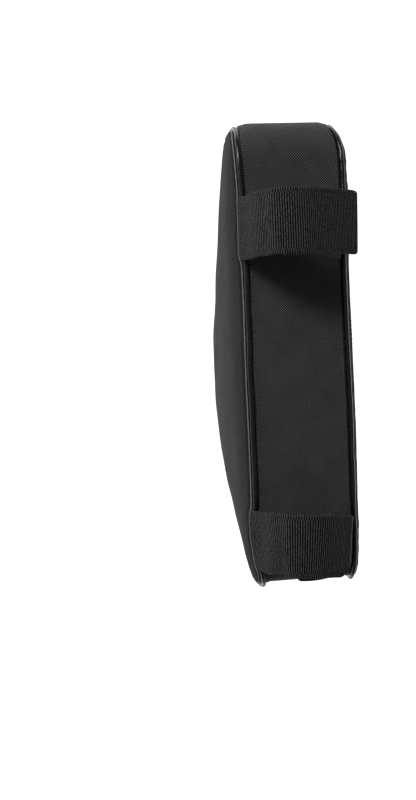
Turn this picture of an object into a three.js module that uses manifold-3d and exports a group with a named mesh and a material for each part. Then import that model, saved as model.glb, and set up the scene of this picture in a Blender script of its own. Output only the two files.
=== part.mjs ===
// A bicycle frame bag that hangs under a round bar by two wrapped straps.
// Millimetres. The origin is on the axis of the bar that the straps hold, midway between them.
// +Z is up, +Y is forward along the bar and +X is to the right.
import * as THREE from 'three';
import { ParametricGeometry } from 'three/addons/geometries/ParametricGeometry.js';
import { mergeVertices } from 'three/addons/utils/BufferGeometryUtils.js';
import Module from 'manifold-3d';

const wasm = await Module();
wasm.setup();

// Driving sizes of the bag
const bagLength = 299; // along the top, from the front face to where the rear edge would meet it
const bagDepth = 126; // from the top down to where the two lower edges would meet
const bagWidth = 64; // between the two seams
const bagOffset = 9; // how far the bag's middle lies to the right of the bar's axis
const frontOverhang = 66; // from the middle of the front strap to the front face
const gussetWall = 1.8;
const panelWall = 2.4;
const panelDome = 6.5; // how far each side swells out at its middle
const pipingDiameter = 3.2;
const pipingInset = 1.4; // from the seam to the middle of the piping, towards the gusset
const clearance = 0.3; // left between sewn pieces

// Driving sizes of the straps and of the bar that they hold
const barDiameter = 40;
const barToBag = 1.5; // from the underside of the bar to the top of the bag
const strapWidth = 38;
const strapThickness = 2.2;
const strapSpacing = 190; // between the middles of the two straps

// Driving sizes of the zip in the right side
const zipLength = 210;
const zipTapeWidth = 16;
const zipTeethWidth = 6;
const zipTeethRise = 0.7;
const zipWall = 1.4;
const zipDrop = 32; // from the top of the bag down to the middle of the zip
const zipFromFront = 34; // from the front face back to the zip's front end
const sliderLength = 11;
const sliderWidth = 8;
const sliderRise = 3;
const pullLength = 26;
const pullWidth = 7;
const pullThickness = 1.6;

// How finely the round forms are cut into flat faces
const arcStep = THREE.MathUtils.degToRad(9);
const pipingSides = 10;
const slotEndSteps = 6;

// What follows from the sizes
const barRadius = barDiameter / 2;
const pipingRadius = pipingDiameter / 2;
const bagTop = -(barRadius + barToBag);
const frontFace = strapSpacing / 2 + frontOverhang;
const halfWidth = bagWidth / 2;
const sideRim = halfWidth + clearance / 2; // where each side's inner face starts
const pipingPlace = halfWidth - pipingInset; // from the bag's middle to that of the piping

// The corners of the side outline, from the front top round by the bottom.
// back is a share of bagLength behind the front face. down and radius are shares of bagDepth.
const outlineCorners = [
  { name: 'front top', back: 0, down: 0, radius: 0.205 },
  { name: 'front bottom', back: 0.006, down: 0.313, radius: 0.12 },
  { name: 'bottom', back: 0.495, down: 1, radius: 0.34 },
  { name: 'rear bottom', back: 0.762, down: 0.757, radius: 0.44 },
  { name: 'rear tip', back: 1, down: 0, radius: 0.09 },
];

// How the domed side rises from its rim to its middle: the share of the way in from the rim
// at which each ring of points lies.
const panelRings = [0, 0.015, 0.045, 0.1, 0.18, 0.3, 0.46, 0.66, 0.84, 1];
const domeFullness = 2.4; // higher is flatter in the middle and steeper at the rim
const domeShoulder = 0.62;

// The two straps. leaves is the angle on the bar, from +X, where the outer strap's tail parts
// from it, tail is the tail's length as a share of strapWidth, and shift moves the inner strap
// along the bar as a share of strapWidth.
const strapTable = [
  { name: 'front', along: 0.5, leaves: 56, tail: 0.93, shift: -0.03 },
  { name: 'rear', along: -0.5, leaves: 51, tail: 0.45, shift: -0.03 },
];
const innerEnd = 112; // the angle on the bar where the inner strap ends
const liftStart = 141; // the angle where the outer strap starts to climb onto the inner one
const liftEnd = 117;

// Each corner of the outline becomes an arc: its centre, its radius and the angles it spans.
function outlineArcs() {
  const points = outlineCorners.map((corner) => new THREE.Vector2(
    frontFace - corner.back * bagLength,
    -corner.down * bagDepth,
  ));
  return outlineCorners.map((corner, index) => {
    const here = points[index];
    const toBefore = points.at(index - 1).clone().sub(here).normalize();
    const toNext = points[(index + 1) % points.length].clone().sub(here).normalize();
    const half = Math.acos(toBefore.dot(toNext)) / 2;
    const radius = corner.radius * bagDepth;
    const inward = toBefore.clone().add(toNext).normalize();
    const centre = here.clone().addScaledVector(inward, radius / Math.sin(half));
    const turn = Math.PI - 2 * half;
    const middle = inward.clone().negate().angle();
    return { centre, radius, start: middle + turn / 2, turn };
  });
}

// The points of the outline, moved inwards by inset. Every inset gives the same number of points.
const arcs = outlineArcs();
function outlinePoints(inset) {
  return arcs.flatMap((arc) => {
    const steps = Math.ceil(arc.turn / arcStep);
    return Array.from({ length: steps + 1 }, (_, step) => {
      const angle = arc.start - (arc.turn * step) / steps;
      return new THREE.Vector2(Math.cos(angle), Math.sin(angle))
        .multiplyScalar(arc.radius - inset)
        .add(arc.centre);
    });
  });
}

// The outline with points added on its long straight edges, for the domed sides.
const longestStep = bagLength / 18;
function evenOutline() {
  const corners = outlinePoints(0);
  return corners.flatMap((point, index) => {
    const next = corners[(index + 1) % corners.length];
    const parts = Math.max(1, Math.round(point.distanceTo(next) / longestStep));
    return Array.from({ length: parts }, (_, part) => point.clone().lerp(next, part / parts));
  });
}

// The middle that the domed sides shrink towards.
function middleOf(outline) {
  return outline.reduce((sum, point) => sum.add(point), new THREE.Vector2())
    .divideScalar(outline.length);
}

// A geometry with its equal points merged and its collapsed triangles taken out.
const weldDistance = 1e-3;
function welded(geometry) {
  geometry.deleteAttribute('normal');
  geometry.deleteAttribute('uv');
  const merged = mergeVertices(geometry, weldDistance);
  const kept = [];
  for (let i = 0; i < merged.index.count; i += 3) {
    const [a, b, c] = [0, 1, 2].map((corner) => merged.index.getX(i + corner));
    if (a !== b && b !== c && c !== a) {
      kept.push(a, b, c);
    }
  }
  merged.setIndex(kept);
  return merged;
}

function toSolid(geometry) {
  const closed = welded(geometry);
  return new wasm.Manifold(new wasm.Mesh({
    numProp: 3,
    vertProperties: new Float32Array(closed.attributes.position.array),
    triVerts: new Uint32Array(closed.index.array),
  }));
}

function toGeometry(solid) {
  const mesh = solid.getMesh();
  const geometry = new THREE.BufferGeometry();
  geometry.setAttribute('position', new THREE.BufferAttribute(mesh.vertProperties, 3));
  geometry.setIndex(new THREE.BufferAttribute(mesh.triVerts, 1));
  return geometry;
}

// A shape drawn in the Y, Z plane, carried along X from one place to another.
function extrudeAlongX(shape, fromX, toX) {
  const geometry = new THREE.ExtrudeGeometry(shape, { depth: toX - fromX, bevelEnabled: false });
  geometry.applyMatrix4(new THREE.Matrix4().set(
    0, 0, 1, fromX,
    1, 0, 0, 0,
    0, 1, 0, 0,
    0, 0, 0, 1,
  ));
  return geometry;
}

// A shape drawn in the X, Z plane, carried along Y from one place to another.
function extrudeAlongY(shape, fromY, toY) {
  const geometry = new THREE.ExtrudeGeometry(shape, { depth: toY - fromY, bevelEnabled: false });
  geometry.applyMatrix4(new THREE.Matrix4().set(
    1, 0, 0, 0,
    0, 0, -1, toY,
    0, 1, 0, 0,
    0, 0, 0, 1,
  ));
  return geometry;
}

// The band between the two sides, a closed ring of cloth.
function gussetGeometry() {
  const shape = new THREE.Shape(outlinePoints(0));
  shape.holes.push(new THREE.Path(outlinePoints(gussetWall).reverse()));
  const half = halfWidth - clearance / 2;
  return extrudeAlongX(shape, -half, half);
}

// How far a side has swelled out, from 0 at its rim to 1 at its middle.
function swell(inwards) {
  return (1 - (1 - inwards) ** domeFullness) ** domeShoulder;
}

// One side of the bag: the outline shrunk towards its middle ring by ring, with the outer and
// inner faces wall apart and the rim between them. sign is -1 on the left and 1 on the right.
function sideGeometry(sign, innerLift, wall) {
  const outline = evenOutline();
  const middle = middleOf(outline);
  const rings = [...panelRings.slice().reverse(), ...panelRings];
  const rimX = sideRim + innerLift;
  return new ParametricGeometry((u, v, target) => {
    const turn = Math.round(u * outline.length) % outline.length;
    const point = outline[sign > 0 ? turn : (outline.length - turn) % outline.length];
    const ring = Math.round(v * (rings.length - 1));
    const inwards = rings[ring];
    const onOuterFace = ring < panelRings.length;
    const flat = middle.clone().lerp(point, 1 - inwards);
    const out = rimX + panelDome * swell(inwards) + (onOuterFace ? wall : 0);
    target.set(sign * out, flat.x, flat.y);
  }, outline.length, rings.length - 1);
}

// A slot with round ends, as long and wide as given, at the zip's place.
function zipSlot(length, width) {
  const front = frontFace - zipFromFront + (length - zipLength) / 2;
  const radius = width / 2;
  const shape = new THREE.Shape();
  shape.absarc(front - radius, -zipDrop, radius, -Math.PI / 2, Math.PI / 2, false);
  shape.absarc(front - length + radius, -zipDrop, radius, Math.PI / 2, (3 * Math.PI) / 2, false);
  const past = panelWall + panelDome;
  const flatShape = new THREE.Shape(shape.getPoints(slotEndSteps));
  return toSolid(extrudeAlongX(flatShape, halfWidth - past, halfWidth + 2 * past));
}

function rightSideGeometry() {
  const slot = zipSlot(zipLength + 2 * clearance, zipTapeWidth + 2 * clearance);
  return toGeometry(toSolid(sideGeometry(1, 0, panelWall)).subtract(slot));
}

// The outer face of the right side at a place given by its share of the way in from the rim.
function zipFaceAt(y) {
  const outline = evenOutline();
  const middle = middleOf(outline);
  const ray = new THREE.Vector2(y, -zipDrop).sub(middle);
  const reach = outline.reduce((best, point, index) => {
    const next = outline[(index + 1) % outline.length];
    const edge = next.clone().sub(point);
    const from = point.clone().sub(middle);
    const across = ray.cross(edge);
    const along = from.cross(edge) / across;
    const side = from.cross(ray) / across;
    return along > 0 && side >= 0 && side <= 1 ? along : best;
  }, 1);
  return sideRim + panelDome * swell(1 - 1 / reach) + panelWall;
}

// The closed zip: tape, teeth, slider and pull in one piece, curved as the side is.
function zipGeometry() {
  const innerLift = panelWall - zipWall - clearance;
  const tape = toSolid(sideGeometry(1, innerLift, zipWall)).intersect(zipSlot(zipLength, zipTapeWidth));
  const teeth = toSolid(sideGeometry(1, innerLift, zipWall + zipTeethRise))
    .intersect(zipSlot(zipLength - zipTapeWidth, zipTeethWidth));
  const sliderFront = frontFace - zipFromFront - zipTapeWidth / 2;
  const sliderMiddle = sliderFront - sliderLength / 2;
  const face = zipFaceAt(sliderMiddle);
  const slider = new THREE.BoxGeometry(sliderRise + zipWall, sliderLength, sliderWidth);
  slider.translate(face - zipWall + (sliderRise + zipWall) / 2 - clearance, sliderMiddle, -zipDrop);
  const pull = new THREE.BoxGeometry(pullThickness, pullWidth, pullLength);
  const pullTop = -zipDrop + sliderWidth / 4;
  const pullX = face + sliderRise - clearance + pullThickness / 4;
  pull.translate(pullX, sliderMiddle, pullTop - pullLength / 2);
  return toGeometry(tape.add(teeth).add(toSolid(slider)).add(toSolid(pull)));
}

// The round piping over a seam: a circle carried round the outline, proud of the gusset.
function pipingGeometry(sign) {
  const path = outlinePoints(-(pipingRadius + clearance));
  const centreX = sign * pipingPlace;
  return new ParametricGeometry((u, v, target) => {
    const place = Math.round(u * path.length) % path.length;
    const before = path.at(place - 1);
    const after = path[(place + 1) % path.length];
    const outwards = new THREE.Vector2(before.y - after.y, after.x - before.x).normalize();
    const angle = -v * 2 * Math.PI;
    const rise = pipingRadius * Math.cos(angle);
    const centre = path[place].clone().addScaledVector(outwards, rise);
    target.set(centreX + pipingRadius * Math.sin(angle), centre.x, centre.y);
  }, path.length, pipingSides);
}

// The points of an arc about a centre, from one angle to another, both from +X.
function arcPoints(centre, from, to, radiusAt) {
  const steps = Math.ceil(Math.abs(to - from) / arcStep);
  return Array.from({ length: steps + 1 }, (_, step) => {
    const angle = from + ((to - from) * step) / steps;
    return new THREE.Vector2(Math.cos(angle), Math.sin(angle))
      .multiplyScalar(radiusAt(angle))
      .add(centre);
  });
}

// A band of cloth seen from its edge: the path moved to both sides by half its thickness.
function bandShape(path) {
  const sides = [1, -1].map((side) => path.map((point, index) => {
    const before = path[Math.max(index - 1, 0)];
    const after = path[Math.min(index + 1, path.length - 1)];
    const along = after.clone().sub(before).normalize();
    const across = new THREE.Vector2(-along.y, along.x);
    return point.clone().addScaledVector(across, (side * strapThickness) / 2);
  }));
  return new THREE.Shape([...sides[0], ...sides[1].reverse()]);
}

const onBarRadius = barRadius + clearance + strapThickness / 2;
const onStrapRadius = onBarRadius + strapThickness + clearance;
const onPipingRadius = pipingRadius + clearance + strapThickness / 2;

// The lower end of an outer strap. It stands on the rim of the left side, outside the piping,
// and bends over the piping towards the bar. It leaves the piping and touches the bar at the
// same angle, because one straight line touches both circles on the same side.
function outerFoot() {
  const piping = new THREE.Vector2(bagOffset - pipingPlace, bagTop + clearance + pipingRadius);
  const toBar = piping.clone().negate();
  const spread = Math.acos((onPipingRadius - onBarRadius) / toBar.length());
  const touches = toBar.angle() + spread;
  const end = new THREE.Vector2(piping.x - onPipingRadius, bagTop + clearance);
  return { touches, points: [end, ...arcPoints(piping, Math.PI, touches, () => onPipingRadius)] };
}

// The lower end of an inner strap. It stands on the gusset, on the inner side of the right
// piping, and then leans straight towards the bar.
function innerFoot() {
  const end = new THREE.Vector2(bagOffset + pipingPlace - onPipingRadius, bagTop + clearance);
  const bend = end.clone().add(new THREE.Vector2(0, strapThickness));
  const touches = Math.atan2(bend.y, bend.x) + Math.acos(onBarRadius / bend.length());
  return { touches, points: [end, bend] };
}

// The strap from the left seam: up the bar's left side, over its top and the inner strap, and
// away to the right in a flat tail.
const barAxis = new THREE.Vector2(0, 0);
function outerStrapGeometry(row) {
  const { degToRad, lerp, radToDeg, smoothstep } = THREE.MathUtils;
  const foot = outerFoot();
  const leaves = degToRad(row.leaves);
  const overBar = arcPoints(barAxis, foot.touches, leaves, (angle) => {
    const lift = smoothstep(-radToDeg(angle), -liftStart, -liftEnd);
    return lerp(onBarRadius, onStrapRadius, lift);
  });
  const away = new THREE.Vector2(Math.sin(leaves), -Math.cos(leaves));
  const tailEnd = overBar.at(-1).clone().addScaledVector(away, row.tail * strapWidth);
  const middle = row.along * strapSpacing;
  const shape = bandShape([...foot.points, ...overBar, tailEnd]);
  return extrudeAlongY(shape, middle - strapWidth / 2, middle + strapWidth / 2);
}

// The strap from the right seam: up to the bar and over its top, under the outer strap.
function innerStrapGeometry(row) {
  const foot = innerFoot();
  const innerStop = THREE.MathUtils.degToRad(innerEnd);
  const overBar = arcPoints(barAxis, foot.touches, innerStop, () => onBarRadius);
  const middle = row.along * strapSpacing + row.shift * strapWidth;
  const shape = bandShape([...foot.points, ...overBar]);
  return extrudeAlongY(shape, middle - strapWidth / 2, middle + strapWidth / 2);
}

const cloth = {
  side: new THREE.MeshStandardMaterial({ color: 0x3a3a3c, roughness: 0.8, metalness: 0 }),
  gusset: new THREE.MeshStandardMaterial({ color: 0x19191a, roughness: 0.75, metalness: 0 }),
  piping: new THREE.MeshStandardMaterial({ color: 0x111112, roughness: 0.35, metalness: 0 }),
  strap: new THREE.MeshStandardMaterial({ color: 0x1e1e20, roughness: 0.7, metalness: 0 }),
  zip: new THREE.MeshStandardMaterial({ color: 0x161617, roughness: 0.5, metalness: 0.1 }),
};

function addPiece(group, name, geometry, material) {
  const piece = new THREE.Mesh(geometry, material);
  piece.name = name;
  group.add(piece);
}

const bag = new THREE.Group();
bag.position.set(bagOffset, 0, bagTop);
addPiece(bag, 'gusset', gussetGeometry(), cloth.gusset);
addPiece(bag, 'left_panel', welded(sideGeometry(-1, 0, panelWall)), cloth.side);
addPiece(bag, 'right_panel', rightSideGeometry(), cloth.side);
addPiece(bag, 'left_piping', welded(pipingGeometry(-1)), cloth.piping);
addPiece(bag, 'right_piping', welded(pipingGeometry(1)), cloth.piping);
addPiece(bag, 'zip', zipGeometry(), cloth.zip);

const part = new THREE.Group();
part.add(bag);
for (const row of strapTable) {
  addPiece(part, `${row.name}_strap_outer`, outerStrapGeometry(row), cloth.strap);
  addPiece(part, `${row.name}_strap_inner`, innerStrapGeometry(row), cloth.strap);
}

export default part;
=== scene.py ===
"""The looks of a bicycle frame bag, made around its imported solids.

Everything is in metres, in the part's own frame: the origin is on the axis of the bar that the
straps hold, +Z is up, +Y is forward along the bar and +X is to the right.
"""

import functools
from typing import NamedTuple

import bmesh
import bpy
import numpy as np
from bpy.props import FloatProperty, FloatVectorProperty, PointerProperty
from mathutils import Matrix, Vector


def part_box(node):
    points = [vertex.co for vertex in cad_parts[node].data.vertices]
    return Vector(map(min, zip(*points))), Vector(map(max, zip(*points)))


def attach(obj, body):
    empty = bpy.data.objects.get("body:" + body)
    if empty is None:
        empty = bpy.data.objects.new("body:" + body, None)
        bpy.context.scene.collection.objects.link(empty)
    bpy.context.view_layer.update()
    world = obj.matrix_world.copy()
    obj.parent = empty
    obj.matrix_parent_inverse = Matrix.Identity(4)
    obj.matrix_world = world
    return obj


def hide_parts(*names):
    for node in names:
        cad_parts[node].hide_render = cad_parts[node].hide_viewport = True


bl_info = {
    "name": "Frame bag",
    "version": (1, 0, 0),
    "blender": (4, 5, 0),
    "location": "View3D > Sidebar > Frame bag",
    "description": "Makes the cloth, straps, piping and zip of a bicycle frame bag",
    "category": "Add Mesh",
}

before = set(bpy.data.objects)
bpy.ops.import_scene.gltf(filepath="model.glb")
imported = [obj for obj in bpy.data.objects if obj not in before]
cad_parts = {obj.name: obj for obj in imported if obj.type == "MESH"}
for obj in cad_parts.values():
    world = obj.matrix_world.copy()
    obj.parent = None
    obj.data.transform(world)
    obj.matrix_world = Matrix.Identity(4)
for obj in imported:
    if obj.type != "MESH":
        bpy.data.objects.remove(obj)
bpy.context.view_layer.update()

MM = 0.001
SEED = 7
# The lengths of a ripple's sines, as shares of its period
RIPPLE_SCATTER = (0.7, 1.45)

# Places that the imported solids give
GUSSET_LOW, GUSSET_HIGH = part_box("gusset")
BAG_TOP = GUSSET_HIGH.z
BAG_MIDDLE = (GUSSET_LOW.x + GUSSET_HIGH.x) / 2
GUSSET_HALF = (GUSSET_HIGH.x - GUSSET_LOW.x) / 2
PIPING_LOW, PIPING_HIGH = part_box("left_piping")
PIPING_RADIUS = (PIPING_HIGH.x - PIPING_LOW.x) / 2
PIPING_PLACE = BAG_MIDDLE - (PIPING_LOW.x + PIPING_HIGH.x) / 2
PIPING_OUT = PIPING_HIGH.z - BAG_TOP - PIPING_RADIUS
PANEL_LOW, PANEL_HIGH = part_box("left_panel")
PANEL_RIM = BAG_MIDDLE - PANEL_HIGH.x
PANEL_OUT = BAG_MIDDLE - PANEL_LOW.x
ZIP_LOW, ZIP_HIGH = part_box("zip")
STRAP_LOW, STRAP_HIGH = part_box("front_strap_outer")

# The corners of the side outline, from the front top round by the bottom. back is a share of
# the bag's length behind its front face, down and radius are shares of its depth.
CORNERS = np.array(
    [
        (0.000, 0.000, 0.205),
        (0.006, 0.313, 0.120),
        (0.495, 1.000, 0.340),
        (0.762, 0.757, 0.440),
        (1.000, 0.000, 0.090),
    ],
    dtype=[("back", "f8"), ("down", "f8"), ("radius", "f8")],
)
FRONT_TOP, FRONT_BOTTOM, BOTTOM, REAR_BOTTOM, REAR_TIP = range(len(CORNERS))
ARC_POINTS = 41

# How far the left and right top seams are drawn outwards at places along the bar, where the
# straps pull on them and at the ends
DRAWN = np.array(
    [
        (-0.134, -0.0040, -0.0030),
        (-0.124, -0.0012, -0.0022),
        (-0.110, 0.0018, -0.0010),
        (-0.095, 0.0034, -0.0005),
        (-0.082, 0.0034, -0.0005),
        (-0.074, 0.0020, -0.0006),
        (-0.060, 0.0018, -0.0004),
        (-0.030, 0.0016, 0.0000),
        (0.000, 0.0016, -0.0002),
        (0.025, 0.0013, -0.0004),
        (0.050, 0.0009, -0.0007),
        (0.073, 0.0010, -0.0004),
        (0.080, 0.0022, 0.0000),
        (0.100, 0.0016, 0.0006),
        (0.120, 0.0015, 0.0010),
        (0.140, 0.0023, 0.0008),
        (0.152, 0.0022, -0.0004),
        (0.160, 0.0010, -0.0020),
    ],
    dtype=[("y", "f8"), ("left", "f8"), ("right", "f8")],
)
# How fast that fades below the bag's top and above the piping
DRAWN_DEPTH = 16 * MM
DRAWN_RISE = 7 * MM
# How far the seams are pulled back at the front end, by what fills the gusset, how far behind the
# front face that starts, and the shares of the bag's half width between which it grows
SEAM_PULL = 1.4 * MM
SEAM_PULL_BEHIND = 14 * MM
SEAM_PULL_SHARES = (0.7, 0.93)

# The straps: leaves is the angle on the bar where the tail parts from it, tail the tail's length,
# hem the length of the folded end, outer and inner how far their feet lie ahead of the packed
# straps' middles, corner the radius of the tail's rear corner, and drawn_in the outer strap's
# width as a share of the webbing's.
STRAPS = {
    "front": {
        "leaves": 56.0,
        "tail": 35.3 * MM,
        "hem": 11 * MM,
        "outer": -0.4 * MM,
        "inner": -0.6 * MM,
        "corner": 2.2 * MM,
        "drawn_in": 1.0,
    },
    "rear": {
        "leaves": 51.0,
        "tail": 17.1 * MM,
        "hem": 0.0,
        "outer": -2.0 * MM,
        "inner": -1.2 * MM,
        "corner": 11.0 * MM,
        "drawn_in": 0.98,
    },
}
# How far each strap is turned on the bar, in degrees, at shares of its length from its foot
TURNS = np.array(
    [
        (0.00, 0.0, 0.0, -2.0, -3.0),
        (0.12, -0.5, -7.5, -2.0, -3.0),
        (0.32, 0.0, -7.0, -2.0, -3.0),
        (0.46, 0.5, 1.0, -1.0, -2.0),
        (0.62, 0.0, 4.0, 0.0, 0.0),
        (0.78, -1.0, 10.0, 0.0, 0.0),
        (1.00, 3.0, 11.5, 0.0, 0.0),
    ],
    dtype=[("share", "f8")]
    + [(f"{name}_{kind}", "f8") for kind in ("outer", "inner") for name in ("front", "rear")],
)
BAR_RADIUS = 20 * MM
# The gap between the webbing and what it lies on
STRAP_GAP = 0.3 * MM
# The angles on the bar between which an outer strap climbs over the end of the inner one, and the
# angle where the inner one ends
LIFT_ANGLES = (141.0, 117.0)
INNER_END = 112.0
# The angle on the left piping where an outer strap's foot starts, below its outer side
FOOT_START = 218.0


class BagSizes(bpy.types.PropertyGroup):
    """The sizes of the bag that a user would change."""

    length: FloatProperty(
        name="Length",
        description="Along the top, from the front face to where the rear edge would meet it",
        default=0.299,
        unit="LENGTH",
    )
    depth: FloatProperty(
        name="Depth",
        description="From the top down to where the two lower edges would meet",
        default=0.126,
        unit="LENGTH",
    )
    gusset_wall: FloatProperty(
        name="Gusset wall",
        description="Thickness of the band between the two sides",
        default=0.0018,
        unit="LENGTH",
    )
    panel_wall: FloatProperty(
        name="Side wall",
        description="Thickness of the padded sides",
        default=0.0024,
        unit="LENGTH",
    )
    swell: FloatProperty(
        name="Swell",
        description="How far each side stands out at its middle before it is blown up",
        default=0.0066,
        unit="LENGTH",
    )
    pressure: FloatProperty(
        name="Pressure",
        description="Pressure that fills the padded sides in the cloth simulation",
        default=9.0,
    )
    strap_width: FloatProperty(
        name="Strap width",
        description="Width of the webbing",
        default=STRAP_HIGH.y - STRAP_LOW.y,
        unit="LENGTH",
    )
    strap_thickness: FloatProperty(
        name="Strap thickness",
        description="Thickness of the webbing over its ribs",
        default=0.0022,
        unit="LENGTH",
    )
    rib_pitch: FloatProperty(
        name="Rib pitch",
        description="From one rib of the webbing to the next",
        default=0.00137,
        unit="LENGTH",
    )
    weave_pitch: FloatProperty(
        name="Weave pitch",
        description="Width of one thread of the gusset's basket weave",
        default=0.00082,
        unit="LENGTH",
    )
    stitch_pitch: FloatProperty(
        name="Stitch pitch",
        description="From one stitch to the next",
        default=0.0029,
        unit="LENGTH",
    )


class BagFinish(bpy.types.PropertyGroup):
    """The colours of the bag's cloths, thread and metal."""

    side: FloatVectorProperty(
        name="Side cloth",
        description="Matte padded cloth of the two sides",
        default=(0.031, 0.031, 0.032),
        subtype="COLOR",
    )
    gusset: FloatVectorProperty(
        name="Gusset cloth",
        description="Coarse basket weave of the band between the sides",
        default=(0.0455, 0.0455, 0.0472),
        subtype="COLOR",
    )
    piping: FloatVectorProperty(
        name="Piping",
        description="Glossy coated cover of the piping",
        default=(0.0035, 0.0035, 0.0037),
        subtype="COLOR",
    )
    webbing: FloatVectorProperty(
        name="Webbing",
        description="Ribbed webbing of the straps",
        default=(0.0114, 0.0114, 0.0118),
        subtype="COLOR",
    )
    thread: FloatVectorProperty(
        name="Thread",
        description="Sewing thread",
        default=(0.06, 0.06, 0.062),
        subtype="COLOR",
    )
    metal: FloatVectorProperty(
        name="Metal",
        description="Dark plated metal of the zip's slider and pull",
        default=(0.16, 0.16, 0.17),
        subtype="COLOR",
    )


class BagStage(bpy.types.PropertyGroup):
    """The floor, the lights and the surroundings."""

    floor_drop: FloatProperty(
        name="Floor drop",
        description="How far the floor lies under the held bar's axis",
        default=0.62,
        unit="LENGTH",
    )
    key_power: FloatProperty(
        name="Key power",
        description="Power of the main light, above and ahead at the left",
        default=15.0,
        unit="POWER",
    )
    fill_power: FloatProperty(
        name="Fill power",
        description="Power of the weak light above",
        default=0.5,
        unit="POWER",
    )
    rim_power: FloatProperty(
        name="Rim power",
        description="Power of the low light at the right",
        default=1.4,
        unit="POWER",
    )
    sky: FloatProperty(
        name="Sky",
        description="Strength of the white surroundings",
        default=0.17,
    )


# Arrays and curves


def unit(vectors):
    """Vectors divided by their lengths."""
    return vectors / np.linalg.norm(vectors, axis=-1, keepdims=True)


def smooth_step(value, start, end):
    """0 before start and 1 after end, and 3 t^2 - 2 t^3 between them."""
    t = np.clip((value - start) / (end - start), 0, 1)
    return t * t * (3 - 2 * t)


def full_turn(sides):
    """Even angles once round."""
    return np.arange(sides) * 2 * np.pi / sides


def ripple(along, period, waves, seed):
    """An uneven wave between about -1 and 1: the sum of sines whose lengths scatter about
    period, each with its own seeded phase, over the square root of their number."""
    draw = np.random.default_rng(SEED + seed)
    scatter = draw.uniform(*RIPPLE_SCATTER, waves)
    phase = draw.uniform(0, 2 * np.pi, waves)
    angle = 2 * np.pi * np.asarray(along)[..., None] / (period * scatter) + phase
    return np.sin(angle).sum(-1) / np.sqrt(waves)


class Ring(NamedTuple):
    """Points of the outline as (Y, Z), their outward directions and their places along it."""

    points: np.ndarray
    outward: np.ndarray
    along: np.ndarray


class Outline(NamedTuple):
    """The outline of the sides: dense points, the distance along it, and its corners' places."""

    points: np.ndarray
    outward: np.ndarray
    along: np.ndarray
    length: float
    corners: np.ndarray

    def at(self, along):
        """Points and outward directions at distances along the outline, which goes round."""
        along = np.mod(along, self.length)
        columns = [self.points[:, 0], self.points[:, 1], self.outward[:, 0], self.outward[:, 1]]
        y, z, out_y, out_z = (np.interp(along, self.along, column) for column in columns)
        return Ring(np.stack([y, z], -1), unit(np.stack([out_y, out_z], -1)), along)

    def ring(self, count):
        """Points at equal steps all the way round."""
        return self.at(np.arange(count) * self.length / count)


@functools.cache
def bag_outline():
    """The outline of a side: five corners rounded by arcs, with straight edges between them.

    An arc's centre is its corner plus the inward bisector times radius / sin(half the corner's
    angle), it turns by pi minus the corner's angle, and its points are centre + radius (cos, sin).
    """
    sizes = bpy.context.scene.bag_sizes
    corner = np.stack([-CORNERS["back"] * sizes.length, -CORNERS["down"] * sizes.depth], 1)
    radius = CORNERS["radius"] * sizes.depth
    before = unit(np.roll(corner, 1, 0) - corner)
    after = unit(np.roll(corner, -1, 0) - corner)
    half = np.arccos((before * after).sum(1)) / 2
    inward = unit(before + after)
    centre = corner + inward * (radius / np.sin(half))[:, None]
    middle = np.arctan2(-inward[:, 1], -inward[:, 0])
    turn = np.pi - 2 * half
    angle = middle[:, None] + turn[:, None] * np.linspace(0.5, -0.5, ARC_POINTS)
    outward = np.stack([np.cos(angle), np.sin(angle)], -1)
    points = (centre[:, None] + radius[:, None, None] * outward).reshape(-1, 2)
    outward = outward.reshape(-1, 2)
    points = points + [GUSSET_HIGH.y - points[:, 0].max(), BAG_TOP - points[:, 1].max()]
    if abs(points[:, 0].min() - GUSSET_LOW.y) > MM:
        raise RuntimeError("the outline's length doesn't match the packed gusset")
    points = np.vstack([points, points[:1]])
    outward = np.vstack([outward, outward[:1]])
    steps = np.linalg.norm(np.diff(points, axis=0), axis=1)
    along = np.concatenate([[0], np.cumsum(steps)])
    corners = along[np.arange(len(CORNERS)) * ARC_POINTS + ARC_POINTS // 2]
    return Outline(points, outward, along, along[-1], corners)


TANGENTS = 360


def inset_of(places):
    """How far places inside the outline lie from it: the least distance to its tangents."""
    edge = bag_outline().ring(TANGENTS)
    flat = places.reshape(-1, 2)
    reach = (edge.points * edge.outward).sum(1) - flat @ edge.outward.T
    return reach.min(1).reshape(places.shape[:-1])


def crowded(count, crowd):
    """Shares from 0 to 1 that crowd towards both ends: t - crowd sin(2 pi t) / (2 pi)."""
    t = np.linspace(0, 1, count)
    return t - crowd * np.sin(2 * np.pi * t) / (2 * np.pi)


def side_grid(columns, rows, crowd=0.72):
    """(Y, Z) places that cover a side, as rows by columns.

    A Coons patch: the mean of the straight blends between the top and the lower front edge and
    between the rear and front edges, summed, less the blend of the four corners.
    """
    outline = bag_outline()
    place = outline.corners
    u = crowded(columns, crowd)[None, :, None]
    v = crowded(rows, crowd)[:, None, None]

    def stretch(start, end, shares):
        return outline.at(start + (end - start) * shares[..., 0]).points

    top = stretch(place[REAR_TIP], place[FRONT_TOP] + outline.length, u)
    low = stretch(place[BOTTOM], place[FRONT_BOTTOM], u)
    rear = stretch(place[REAR_TIP], place[BOTTOM], v)
    front = stretch(place[FRONT_TOP], place[FRONT_BOTTOM], v)
    corners = (
        (1 - v) * ((1 - u) * top[:, :1] + u * top[:, -1:])
        + v * ((1 - u) * low[:, :1] + u * low[:, -1:])
    )
    return (1 - v) * top + v * low + (1 - u) * rear + u * front - corners


# Lattices of heights over the side

LATTICE_STEP = 2 * MM
# Keeps a place on the lattice's last line inside its last cell
CELL_MARGIN = 0.001
SETTLE_ROUNDS = 3500
DOME_POWER = 0.45


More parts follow.
